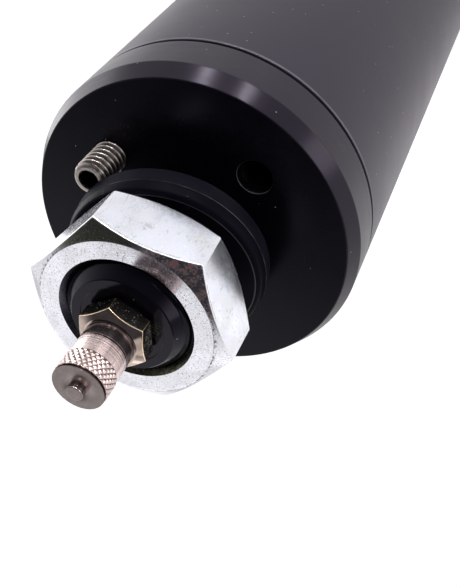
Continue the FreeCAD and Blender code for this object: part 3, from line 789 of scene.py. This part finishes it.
# %% End cap
body_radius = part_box("body_tube")[1].x / MM
cap_bottom, stem_top = heights("end_cap")
tube_bottom, seam_height = heights("body_tube")
bore_radius = 28.575
spigot_radius = bore_radius - 0.06
pocket_radius = 21.0
pocket_roof = cap_bottom + 15.5
face_radius = 30.18
face_bevel = 3.1
stem_radius = 11.1125
stem_root = 10.0
stem_pitch = 25.4 / 14
stem_thread_low = 3.6
stem_bevel_low = stem_top - 2.35
stem_cut_low = stem_thread_low - 0.6
stem_cut_high = stem_top - 1.65
stem_end_radius = 9.16
relief_radius = 9.7
relief_high = 2.4
spot_face_radius = 7.4
spot_face_height = stem_top - 0.15
thread_rows = 14


def cap_slot(radius, height, angle):
    """Slots of the cap: 0 the face, 1 the turned band, 2 the stem, 3 the shadow of the seam."""
    if height > 0.05:
        return 2
    if height < seam_height + 0.06:
        return 3
    return 0 if height > -0.02 and radius < face_radius - 0.25 else 1


stem_rows = round((stem_bevel_low - stem_thread_low) / stem_pitch * thread_rows)
bevel_rows = round((stem_top - stem_bevel_low) / stem_pitch * thread_rows)
cap_outline = eased([
    (0, spot_face_height, 0),
    (spot_face_radius, spot_face_height, 0.05),
    (spot_face_radius + 0.02, stem_top, 0.05),
    (stem_end_radius - 0.12, stem_top, 0)])
cap_outline += straight((stem_end_radius, stem_top - 0.1), (stem_radius, stem_bevel_low), bevel_rows)
cap_outline += straight((stem_radius, stem_bevel_low), (stem_radius, stem_thread_low), stem_rows)
cap_outline += eased([
    (stem_radius, stem_thread_low, 0),
    (relief_radius, relief_high, 0.3),
    (relief_radius, 0, 0.5),
    (face_radius, 0, 0.12),
    (body_radius, -face_bevel, 0.12),
    (body_radius, seam_height, 0.12),
    (spigot_radius, seam_height, 0),
    (spigot_radius, cap_bottom, 1.0),
    (pocket_radius, cap_bottom, 0.3),
    (pocket_radius, pocket_roof, 2.0),
    (0, pocket_roof, 0)])
cap_finishes = [face_black, band_black, stem_black, recess_shade_black]
end_cap = turned_piece("end_cap_finished", cap_outline, even_angles(192), cap_finishes, cap_slot)
cut_thread(end_cap, stem_pitch, stem_radius, stem_root, stem_cut_low, stem_cut_high, stem_black)
print("end cap:", len(end_cap.data.polygons), "faces before drilling")

# %% Index holes
hole_circle = 19.4
hole_radius = 3.2
hole_mouth = 3.33
hole_depth = 16.9
plain_depth = 1.2
bore_start = 1.6
drill_point_share = 0.6
tap_root = 2.75
tap_rows = 160
screw_azimuth = math.pi / 2
screw_pitch = 1.27


def drill(name, azimuth, tapped):
    """Cutter for an index hole: bevelled mouth, bore and drill point."""
    bore = tap_root if tapped else hole_radius - 0.001
    over = 0.5
    mouth_low = hole_radius - hole_mouth
    outline = [(0, over), (hole_mouth + over, over), (hole_radius, mouth_low)]
    outline += [(hole_radius, -plain_depth), (bore, -bore_start)]
    outline += straight((bore, -bore_start - 0.1), (bore, -hole_depth), tap_rows if tapped else 1)
    outline += [(bore, -hole_depth), (0, -hole_depth - bore * drill_point_share)]
    # Below the mouth each hole is painted dark as its shade, and so is the whole mouth of the screw's hole.
    finishes = [worn_edge if tapped else recess_shade_black, recess_shade_black]
    made = turned_piece(name, outline, even_angles(96), finishes,
                        lambda radius, height, angle: int(height < mouth_low))
    if tapped:
        thread_high = -bore_start - 0.05
        cut_thread(made, screw_pitch, hole_radius, bore, -hole_depth, thread_high, recess_shade_black, inside=1.0)
    made.data.transform(Matrix.Translation(polar(hole_circle * MM, azimuth, 0)))
    return made


for hole_name, hole_azimuth, tapped in (("spare_hole", 0.0, True), ("screw_hole", screw_azimuth, False)):
    cutter = drill(hole_name, hole_azimuth, tapped)
    boolean = end_cap.modifiers.new(hole_name, "BOOLEAN")
    boolean.operation = "DIFFERENCE"
    boolean.solver = "EXACT"
    boolean.material_mode = "TRANSFER"
    boolean.object = cutter
    keep_result(end_cap, boolean)
    bpy.data.objects.remove(cutter)
shade(end_cap.data, 50.0)
hand_over(end_cap, "housing", "end_cap")

# %% [markdown]
# ## Body tube
# A plain tube with a rounded top rim. The rim stands a little below the cap, and that gap makes the thin dark
# line of the seam. It needs few stations: only the easing at both ends.

# %% Body tube
seam_gap = 0.9
rim_height = seam_height - seam_gap
rim_ease = 0.6
# Between these heights the outer edge of the rim is painted lighter as a highlight.
rim_highlight_low = rim_height - 0.5
rim_highlight_high = rim_height - 0.2


def tube_slot(radius, height, angle):
    """Slots of the tube: 0 the outside, 1 the shadow of the seam, 2 the rim, painted lighter as a highlight.
    """
    if height > rim_height - 0.05 and radius < body_radius - rim_ease - 0.05:
        return 1
    return 2 if rim_highlight_low < height < rim_highlight_high and radius > body_radius - rim_ease / 2 else 0


tube_outline = eased([
    (bore_radius, rim_height, 0.1),
    (body_radius, rim_height, rim_ease),
    (body_radius, tube_bottom, 1.0),
    (bore_radius, tube_bottom, 1.0)], 5)
tube_finishes = [tube_black, recess_shade_black, rubbed_edge]
body_tube = turned_piece("body_tube_finished", tube_outline, even_angles(256), tube_finishes, tube_slot)
hand_over(body_tube, "housing", "body_tube")

# %% [markdown]
# ## Index screw
# A socket set screw, a quarter inch across. The outline is turned at the thread's outer radius and the same
# tree cuts the turns. In the hexagonal socket the radius of the stations depends on the azimuth.

# %% Hexagons as turned shapes
SIXTH = FULL_TURN / 6


def hexagon_radius(across, corner_azimuth, corner_ease):
    """Radius of a hexagon with eased corners, as a function of the azimuth."""
    half = across / 2
    corner_distance = (half - corner_ease) / math.cos(SIXTH / 2)
    tangent = math.atan2((half - corner_ease) * math.tan(SIXTH / 2), half)

    def radius(angle):
        off_flat = (angle - corner_azimuth) % SIXTH - SIXTH / 2
        if abs(off_flat) <= tangent:
            return half / math.cos(off_flat)
        off_corner = SIXTH / 2 - abs(off_flat)
        across_corner = corner_distance * math.sin(off_corner)
        return corner_distance * math.cos(off_corner) + math.sqrt(corner_ease ** 2 - across_corner ** 2)

    return radius


def hexagon_angles(corner_azimuth, per_side):
    """Azimuths round a hexagon, closer together near its corners."""
    shares = [0.5 - 0.5 * math.cos(math.pi * step / per_side) for step in range(per_side)]
    return [corner_azimuth + SIXTH * (corner + share) for corner in range(6) for share in shares]


print("hexagons: ready")

# %% Index screw
screw_low, screw_high = heights("index_screw")
screw_radius = 3.14
screw_root = 2.6
screw_bevel = 0.55
screw_point_radius = 1.9
screw_point_high = screw_low + 1.24
socket_across = 3.175
socket_floor = screw_high - 4.2
socket_corner = socket_across / math.sqrt(3)
socket_ease = 0.12
socket_radius = hexagon_radius(socket_across, 0.0, socket_ease)
screw_rows = 260
screw_groove = ((0, hole_circle, 0), screw_root, screw_radius - 0.1)
screw_thread = oiled_steel("oiled_thread", (0.44, 0.385, 0.35), (0.62, 0.56, 0.52), 0.3, screw_groove)
screw_outline = [
    (0, socket_floor - 0.9),
    lambda angle: (socket_radius(angle), socket_floor),
    lambda angle: (socket_radius(angle), screw_high - 0.22),
    (socket_corner + socket_ease, screw_high),
]
screw_outline += eased([
    (socket_corner + 0.2, screw_high, 0),
    (screw_radius - screw_bevel, screw_high, 0.15),
    (screw_radius, screw_high - screw_bevel, 0)])
screw_shank = (screw_radius, screw_high - screw_bevel - 0.01), (screw_radius, screw_point_high)
screw_outline += straight(*screw_shank, screw_rows)
screw_outline += [(screw_radius, screw_point_high), (screw_point_radius, screw_low), (0, screw_low)]


def screw_slot(radius, height, angle):
    """Slots of the screw: 0 oiled steel, 1 the socket, painted dark as its shade."""
    return int(radius < socket_across / 2 + 0.3 and screw_high - 5.5 < height < screw_high - 0.02)


index_screw = turned_piece("index_screw_finished", screw_outline, even_angles(120), [steel, socket_shade_steel],
                           screw_slot, 40)
cut_thread(index_screw, screw_pitch, screw_radius, screw_root,
           screw_low + 0.3, screw_high - 0.1, screw_thread)
index_screw.data.transform(Matrix.Translation(polar(hole_circle * MM, screw_azimuth, 0)))
hand_over(index_screw, "index_screw", "index_screw")

# %% [markdown]
# ## Loose washers
# A die-cut rubber washer and a stamped steel one lie loose on the stem. They lean on the tip of the index
# screw, so both are turned upright and then tipped together, as one stack, before they ride.

# %% Washers
washer_radius = 18.2
washer_bore = 12.25
isolator_thickness = 3.2
clamp_thickness = 2.3
stack_half = (isolator_thickness + clamp_thickness) / 2
isolator_top = isolator_thickness - stack_half
stack_height = 8.95
lean_angle = math.radians(8.5)
lean_azimuth = math.radians(8.0)
slip = 0.6
slip_azimuth = math.radians(192.0)
lean = Matrix.Rotation(lean_angle, 4, polar(1.0, lean_azimuth, 0.0))
stack_place = Matrix.Translation(polar(slip * MM, slip_azimuth, stack_height * MM)) @ lean
cut_depth = 0.06
cut_length = 0.9 * MM


def isolator_slot(radius, height, angle):
    """Slots of the isolator: 0 rubber, 1 the upper edge, painted lighter as a highlight."""
    return int(radius > washer_radius - 0.14 and height > isolator_top - 0.13)


rim_stations = straight((washer_radius, 0.5 - stack_half), (washer_radius, isolator_top - 0.3), 8)
isolator_outline = eased([
    (washer_bore, -stack_half, 0.1),
    (washer_radius, -stack_half, 0.15),
    *[(*station, 0) for station in rim_stations],
    (washer_radius, isolator_top, 0.1),
    (washer_bore, isolator_top, 0.1)])
isolator = turned_piece("isolator_washer_finished", isolator_outline, even_angles(360),
                        [rubber, scuffed_rubber], isolator_slot)
for vertex in isolator.data.vertices:
    if math.hypot(vertex.co.x, vertex.co.y) > (washer_radius - 0.2) * MM:
        cut = noise.noise(Vector((vertex.co.x, vertex.co.y, vertex.co.z * 0.4)) / cut_length)
        shrink = 1 - (cut_depth + cut_depth * cut) / washer_radius
        vertex.co.x *= shrink
        vertex.co.y *= shrink
isolator.data.transform(stack_place)
hand_over(isolator, "stem_washers", "isolator_washer")

clamp_radius = washer_radius - 0.12
punch_radius = clamp_radius - 1.45
punch_height = stack_half - 0.08


def clamp_slot(radius, height, angle):
    """Slots of the clamp washer: 0 oxide, 1 the worn edge of the punched face."""
    return int(height > punch_height - 0.02 and abs(radius - punch_radius) < 0.09)


clamp_outline = eased([
    (washer_bore, isolator_top, 0.2),
    (clamp_radius, isolator_top, 0.05),
    (clamp_radius - 0.1, isolator_top + 0.5, 0.3),
    (clamp_radius - 0.5, stack_half - 0.25, 0.7),
    (punch_radius, stack_half, 0.03),
    (punch_radius - 0.06, punch_height, 0.03),
    (washer_bore, punch_height, 0.25)], 6)
clamp = turned_piece("clamp_washer_finished", clamp_outline, even_angles(256), [oxide, worn_edge], clamp_slot)
clamp.data.transform(stack_place)
hand_over(clamp, "stem_washers", "clamp_washer")

# %% [markdown]
# ## Jam nut
# A nut is a hexagon and a cone at once: where the cone cuts the flats it leaves the curved edges that make a
# nut look like a nut. Turning it with a radius that depends on the azimuth gives those edges for free.

# %% Bevelled hexagons
def bevel_corner(radius_at, face_edge, face_height, slope, ease, steps=4):
    """Stations over the edge between a bevelled face and the flats, from the bevel to the flat."""
    along_bevel = Vector((-1, slope))
    along_flat = Vector((0, -1 if slope > 0 else 1))

    def station(share, on_bevel=0.0, on_flat=0.0):
        def place(angle):
            edge_radius = radius_at(angle)
            edge = Vector((edge_radius, face_height - (edge_radius - face_edge) * slope))
            point = curve(edge + along_bevel * ease, edge, edge + along_flat * ease, share)
            point += along_bevel * on_bevel + along_flat * on_flat
            return point.x, point.y
        return place

    rounding = [station(step / steps) for step in range(steps + 1)]
    return [station(0, on_bevel=GUARD), *rounding, station(1, on_flat=GUARD)]


def on_edge(radius, height, edge_radius, face_edge, face_height, slope, ease):
    """Whether a face lies on the eased edge between a bevelled face and the flats."""
    edge_height = face_height - (edge_radius - face_edge) * slope
    return abs(radius - edge_radius) < ease and abs(height - edge_height) < ease


print("bevels: ready")

# %% Jam nut
nut_low, nut_high = heights("jam_nut")
nut_across = 32.3
nut_corner = math.radians(57.1)
nut_face_radius = 15.45
nut_mouth = 12.1
nut_root = 10.2
nut_crest = 11.28
nut_slope = math.tan(math.radians(33.0))
nut_corner_ease = 0.5
nut_edge = 0.14
bevel_run = 0.2
mouth_rows = 16
nut_radius = hexagon_radius(nut_across, nut_corner, nut_corner_ease)
nut_rows = round((nut_high - nut_low) / stem_pitch * thread_rows)
mouth_low = nut_low + nut_mouth - nut_root
mouth_high = nut_high - (nut_mouth - nut_root)
nut_face = eased([
    (nut_mouth, nut_high, 0),
    (nut_face_radius, nut_high, 0.08),
    (nut_face_radius + bevel_run, nut_high - bevel_run * nut_slope, 0)])
nut_outline = straight((nut_root, mouth_low), (nut_root, mouth_high), nut_rows)
nut_outline += straight((nut_root, mouth_high), (nut_mouth, nut_high), mouth_rows)
nut_outline += nut_face
nut_outline += bevel_corner(nut_radius, nut_face_radius, nut_high, nut_slope, nut_edge)
nut_outline += reversed(bevel_corner(nut_radius, nut_face_radius, nut_low, -nut_slope, nut_edge))
nut_outline += [(radius, nut_low + nut_high - height) for radius, height in reversed(nut_face)]
nut_outline += straight((nut_mouth, nut_low), (nut_root, mouth_low), mouth_rows)[1:]


def nut_slot(radius, height, angle):
    """Slots of the nut: 0 the flats, 1 the stained bevel of the upper face with painted dark reflections, 2
    worn edges, 3 the pitted upper face, 4 the mouths and the thread, darkened as painted shade."""
    if radius < nut_mouth:
        return 4
    if on_edge(radius, height, nut_radius(angle), nut_face_radius, nut_high, nut_slope, nut_edge):
        return 2
    if height > nut_high - 1.4:
        return 1 if radius > nut_face_radius + 0.03 else 3
    return 0


nut_finishes = [zinc, bevel_zinc, worn_zinc, pitted_zinc, shaded_zinc]
nut_angles = hexagon_angles(nut_corner, 40)
jam_nut = turned_piece("jam_nut_finished", nut_outline, nut_angles, nut_finishes, nut_slot)
cut_thread(jam_nut, stem_pitch, nut_crest, nut_root, nut_low + 0.02, nut_high - 0.02, shaded_zinc, inside=1.0)
hand_over(jam_nut, "jam_nut", "jam_nut")

# %% [markdown]
# ## Charging valve
# The valve is nickel-plated brass: a hexagon for the spanner, a plain neck and a fine thread under the cap.
# Its hexagon has a bevel on top and only a broken edge below.

# %% Valve body
valve_low, valve_high = heights("valve_body")
foot_radius = 4.7
foot_high_radius = 5.0
hex_low = 28.1
hex_high = 31.9
hex_face_radius = 4.7
hex_across = 11.1
hex_corner = math.radians(42.0)
hex_slope = math.tan(math.radians(31.0))
hex_corner_ease = 0.22
hex_edge = 0.085
hex_foot_bevel = 0.1
hex_corner_share = math.radians(1.3)
neck_radius = 4.33
neck_high = 34.65
valve_thread_radius = 3.87
valve_thread_root = 3.42
valve_bevel = 0.4
valve_pitch = 25.4 / 32
valve_rows = 90
chamber_radius = 2.6
chamber_low = 25.5
drill_radius = 1.5
hex_radius = hexagon_radius(hex_across, hex_corner, hex_corner_ease)
valve_outline = [
    (drill_radius, valve_low),
    (foot_radius, valve_low),
    (foot_high_radius, hex_low),
    lambda angle: (hex_radius(angle) - hex_foot_bevel, hex_low),
    lambda angle: (hex_radius(angle), hex_low + hex_foot_bevel),
    *reversed(bevel_corner(hex_radius, hex_face_radius, hex_high, hex_slope, hex_edge))]
valve_outline += eased([
    (hex_face_radius, hex_high, 0),
    (neck_radius, hex_high, 0.1),
    (neck_radius, neck_high, 0.08),
    (valve_thread_radius, neck_high, 0)])
valve_thread_end = (valve_thread_radius, valve_high - valve_bevel)
valve_outline += straight((valve_thread_radius, neck_high + 0.01), valve_thread_end, valve_rows)
valve_outline += [
    valve_thread_end,
    (valve_thread_radius - valve_bevel, valve_high),
    (chamber_radius, valve_high),
    (chamber_radius, chamber_low),
    (drill_radius, chamber_low)]


def valve_slot(radius, height, angle):
    """Slots of the valve: 0 the turned top, 1 the hexagon's edges, worn to the brass, 2 the neck,
    3 the flats."""
    if height > hex_high + 0.01:
        return 2
    if on_edge(radius, height, hex_radius(angle), hex_face_radius, hex_high, hex_slope, hex_edge):
        return 1
    if radius < hex_radius(angle) - hex_edge or height < hex_low:
        return 0
    off_corner = (angle - hex_corner + hex_corner_share) % SIXTH
    return 1 if off_corner < 2 * hex_corner_share else 3


valve_finishes = [polished_nickel, worn_brass, neck_nickel, flat_nickel]
valve_angles = hexagon_angles(hex_corner, 16)
valve_body = turned_piece("valve_body_finished", valve_outline, valve_angles, valve_finishes, valve_slot)
cut_thread(valve_body, valve_pitch, valve_thread_radius, valve_thread_root,
           neck_high + 0.02, valve_high - 0.02, neck_nickel)
hand_over(valve_body, "housing", "valve_body")

# %% [markdown]
# ## Valve cap and its knurl
# A diamond knurl is two families of slanting grooves. On a grid wrapped round the cap, the distance to the
# nearest groove of each family is plain arithmetic, and the smaller of the two is the height of the pyramid.
# Cutting that height off at the top leaves the worn, flat diamonds of a rolled knurl.

# %% The knurl tree
knurl_tree, band, knurl_inputs = new_tree(
    "diamond_knurl", ["Tip Radius", "Valley Radius", "Flat Share", "Low", "High"],
    ["Diamonds Around", "Diamonds High", "Steps"])
lattice = band["Steps"].node("GeometryNodeMeshGrid", None, {
    "Size X": 1.0, "Size Y": 1.0, "Vertices X": band["Diamonds Around"] * band["Steps"] + 1,
    "Vertices Y": band["Diamonds High"] * band["Steps"] + 1})
lattice_x, lattice_y = band["Steps"].node("GeometryNodeInputPosition").xyz()[:2]
round_share = lattice_x + 0.5
rise_share = lattice_y + 0.5
across = round_share * band["Diamonds Around"]
up = rise_share * band["Diamonds High"]


def off_groove(track):
    """0 on a groove, 1 half way between two of them."""
    return 1 - (track.maths("FRACT") * 2 - 1).maths("ABSOLUTE")


peak = off_groove(across + up).maths("MINIMUM", off_groove(across - up))
peak = (peak / (1 - band["Flat Share"])).maths("MINIMUM", 1.0)
off_ends = rise_share.maths("MINIMUM", 1 - rise_share).ramp(0.0, 0.05)
knurl_radius = band["Valley Radius"] + (band["Tip Radius"] - band["Valley Radius"]) * peak * off_ends
knurl_angle = round_share * FULL_TURN
knurl_spot = knurl_radius.vector(
    knurl_radius * knurl_angle.maths("COSINE"),
    knurl_radius * knurl_angle.maths("SINE"),
    band["Low"] + (band["High"] - band["Low"]) * rise_share)
wrapped = lattice.node("GeometryNodeSetPosition", None, {"Geometry": lattice, "Position": knurl_spot})
end_tree(wrapped, band["Material"])
print("knurl tree:", len(knurl_tree.nodes), "nodes")

# %% Valve cap
cap_low, cap_high = heights("valve_cap")
diamonds_around = 28
diamonds_high = 3
diamond_steps = 10
diamond_flat_share = 0.45
knurl_low = 38.3
knurl_high = 41.9
knurl_tip = 4.54
knurl_valley = 4.36
sleeve_radius = 4.36
end_radius = 4.38
end_groove_radius = 4.2
end_height = 42.4
pip_radius = 1.42
moat_radius = 2.6
moat_floor = end_height - 0.2
cap_bore = 3.94
cap_roof = 41.35
knurl_slot = 3
knurl_band = new_object("knurl_band", bpy.data.meshes.new("knurl_band"))
apply_tree(knurl_band, knurl_tree, knurl_inputs, {
    "Diamonds Around": diamonds_around, "Diamonds High": diamonds_high, "Steps": diamond_steps,
    "Tip Radius": knurl_tip * MM, "Valley Radius": knurl_valley * MM, "Flat Share": diamond_flat_share,
    "Low": knurl_low * MM, "High": knurl_high * MM, "Material": knurl_nickel})
knurl_band.data.polygons.foreach_set("material_index", [knurl_slot] * len(knurl_band.data.polygons))


def cap_end_slot(radius, height, angle):
    """Slots of the valve cap's end: 0 the pip's side, 1 the dull end, 2 the groove, painted dark as its
    shade.
    """
    if radius < pip_radius + 0.02:
        return int(height > cap_high - 0.06)
    return 2 if radius > moat_radius and height < end_height - 0.05 else 1


cap_angles = even_angles(diamonds_around * diamond_steps)
valve_cap_mesh = bmesh.new()
add_turned(valve_cap_mesh, eased([
    (0, cap_high, 0),
    (pip_radius, cap_high, 0.12),
    (pip_radius, moat_floor, 0.06),
    (moat_radius, end_height, 0.6),
    (end_radius, end_height, 0.04),
    (end_radius, end_height - 0.07, 0.02),
    (end_groove_radius, end_height - 0.12, 0.02),
    (end_groove_radius, knurl_high + 0.03, 0),
    (knurl_valley, knurl_high, 0)], 4), cap_angles, cap_end_slot)
add_turned(valve_cap_mesh, eased([
    (0, cap_roof, 0),
    (cap_bore, cap_roof, 0.2),
    (cap_bore, cap_low, 0.1),
    (sleeve_radius, cap_low, 0.14),
    (sleeve_radius, knurl_low - 0.2, 0.06),
    (knurl_valley, knurl_low, 0)]), cap_angles)
valve_cap_mesh.from_mesh(knurl_band.data)
bpy.data.objects.remove(knurl_band)
valve_cap_finishes = [turned_nickel, dull_nickel, groove_nickel, knurl_nickel]
valve_cap = piece_from(valve_cap_mesh, "valve_cap_finished", valve_cap_finishes, 40)
hand_over(valve_cap, "valve_cap", "valve_cap")

# %% [markdown]
# ## The lower end
# Below the tube the chromed shaft comes out through its seal, and carries a steel plate with a moulded pad
# that meets the axle. The photograph doesn't show this end, so it is finished as such parts usually are.

# %% Shaft, plate and pad
shaft_low, shaft_high = heights("shaft")
pad_low, pad_high = heights("strike_pad")
plate_low, plate_high = heights("strike_plate")
shaft_radius = 19.05
shaft_shoulder = -120.9
tenon_radius = 8.0
pad_radius = 28.0
plate_radius = 25.0
plate_rim = plate_radius - 0.02
plate_bore = 19.1
plate_hole = 5.4
countersink_radius = 10.0
countersink_depth = 4.6
low_angles = even_angles(192)
shaft = turned_piece("shaft_finished", eased([
    (0, shaft_low, 0),
    (shaft_radius, shaft_low, 1.0),
    (shaft_radius, shaft_shoulder, 0.4),
    (tenon_radius, shaft_shoulder, 0.2),
    (tenon_radius, shaft_high, 1.0),
    (0, shaft_high, 0)], 4), low_angles, [chrome])
hand_over(shaft, "shaft_assembly", "shaft")

strike_pad = turned_piece("strike_pad_finished", eased([
    (0, pad_low, 0),
    (pad_radius, pad_low, 5.0),
    (pad_radius, pad_high, 1.0),
    (plate_radius, pad_high, 0.5),
    (plate_radius, plate_low, 0.2),
    (0, plate_low, 0)], 8), low_angles, [urethane])
hand_over(strike_pad, "shaft_assembly", "strike_pad")

strike_plate = turned_piece("strike_plate_finished", eased([
    (plate_hole, plate_low + countersink_depth, 0),
    (countersink_radius, plate_low, 0.2),
    (plate_rim, plate_low, 0.2),
    (plate_rim, plate_high, 1.5),
    (plate_bore, plate_high, 0.3),
    (plate_bore, shaft_low, 0.2),
    (plate_hole, shaft_low, 0.2)], 4), low_angles, [oxide])
hand_over(strike_plate, "shaft_assembly", "strike_plate")

# %% [markdown]
# ## The valve's spring
# A small coil spring under the pin's collar lifts the pin and shuts the valve. A coil follows a path, so a
# geometry tree winds it: a spiral with a round wire swept along it.

# %% Pin spring
coil_tree, coil, coil_inputs = new_tree(
    "coil_spring", ["Turns", "Coil Radius", "Wire Radius", "Low", "High"])
spiral = coil["Turns"].node("GeometryNodeCurveSpiral", None, {
    "Resolution": 32, "Rotations": coil["Turns"], "Start Radius": coil["Coil Radius"],
    "End Radius": coil["Coil Radius"], "Height": coil["High"] - coil["Low"] - coil["Wire Radius"] * 2})
foot = spiral.vector(0.0, 0.0, coil["Low"] + coil["Wire Radius"])
standing = spiral.node("GeometryNodeSetPosition", None, {"Geometry": spiral, "Offset": foot})
wire_section = {"Resolution": 12, "Radius": coil["Wire Radius"]}
wire_round = coil["Turns"].node("GeometryNodeCurvePrimitiveCircle", None, wire_section)
wound = standing.node("GeometryNodeCurveToMesh", None, {
    "Curve": standing, "Profile Curve": wire_round, "Fill Caps": True})
end_tree(wound, coil["Material"])

spring_low, spring_high = heights("valve_pin_spring")
spring_turns = 5.0
coil_radius = 1.3
wire_radius = 0.2
pin_press = next(joint for joint in frame["joints"] if joint["name"] == "valve_pin_press")
pin_travel = max(pin_press["range_m"]) / MM
spring_name = "valve_pin_spring_finished"
pin_spring = new_object(spring_name, bpy.data.meshes.new(spring_name))
apply_tree(pin_spring, coil_tree, coil_inputs, {
    "Turns": spring_turns, "Coil Radius": coil_radius * MM, "Wire Radius": wire_radius * MM,
    "Low": spring_low * MM, "High": spring_high * MM, "Material": spring_steel})
shade(pin_spring.data, 40.0)
hand_over(pin_spring, "valve_pin", "valve_pin_spring")
1 - pin_travel / (spring_high - spring_low)
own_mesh(pin_spring)

# %% [markdown]
# ## The pieces inside
# The other nodes keep their exact machined shape. They only need a finish, because they show from below, or
# when the part is taken to pieces.

# %% Finishes of the inner pieces
inner_finishes = [
    (rubber, ["end_cap_o_ring", "seal_head_o_ring", "valve_core_seal", "valve_cap_gasket"]),
    (polished_nickel, ["valve_core", "valve_pin"]),
    (aluminium, ["seal_head", "piston"]),
    (bronze, ["shaft_bushing"]),
    (seal_plastic, ["shaft_seal", "shaft_wiper"]),
    (spring_steel, ["retaining_ring", "compression_shims", "rebound_shims"]),
    (urethane, ["top_out_bumper"]),
    (band_plastic, ["piston_band"]),
    (steel, ["shim_washer"]),
    (zinc, ["piston_nut"]),
    (oxide, ["pad_screw"]),
]
for material, node_names in inner_finishes:
    for node_name in node_names:
        data = frame["nodes"][node_name].data
        data.materials.clear()
        data.materials.append(material)
print("inner pieces:", sum(len(node_names) for material, node_names in inner_finishes))
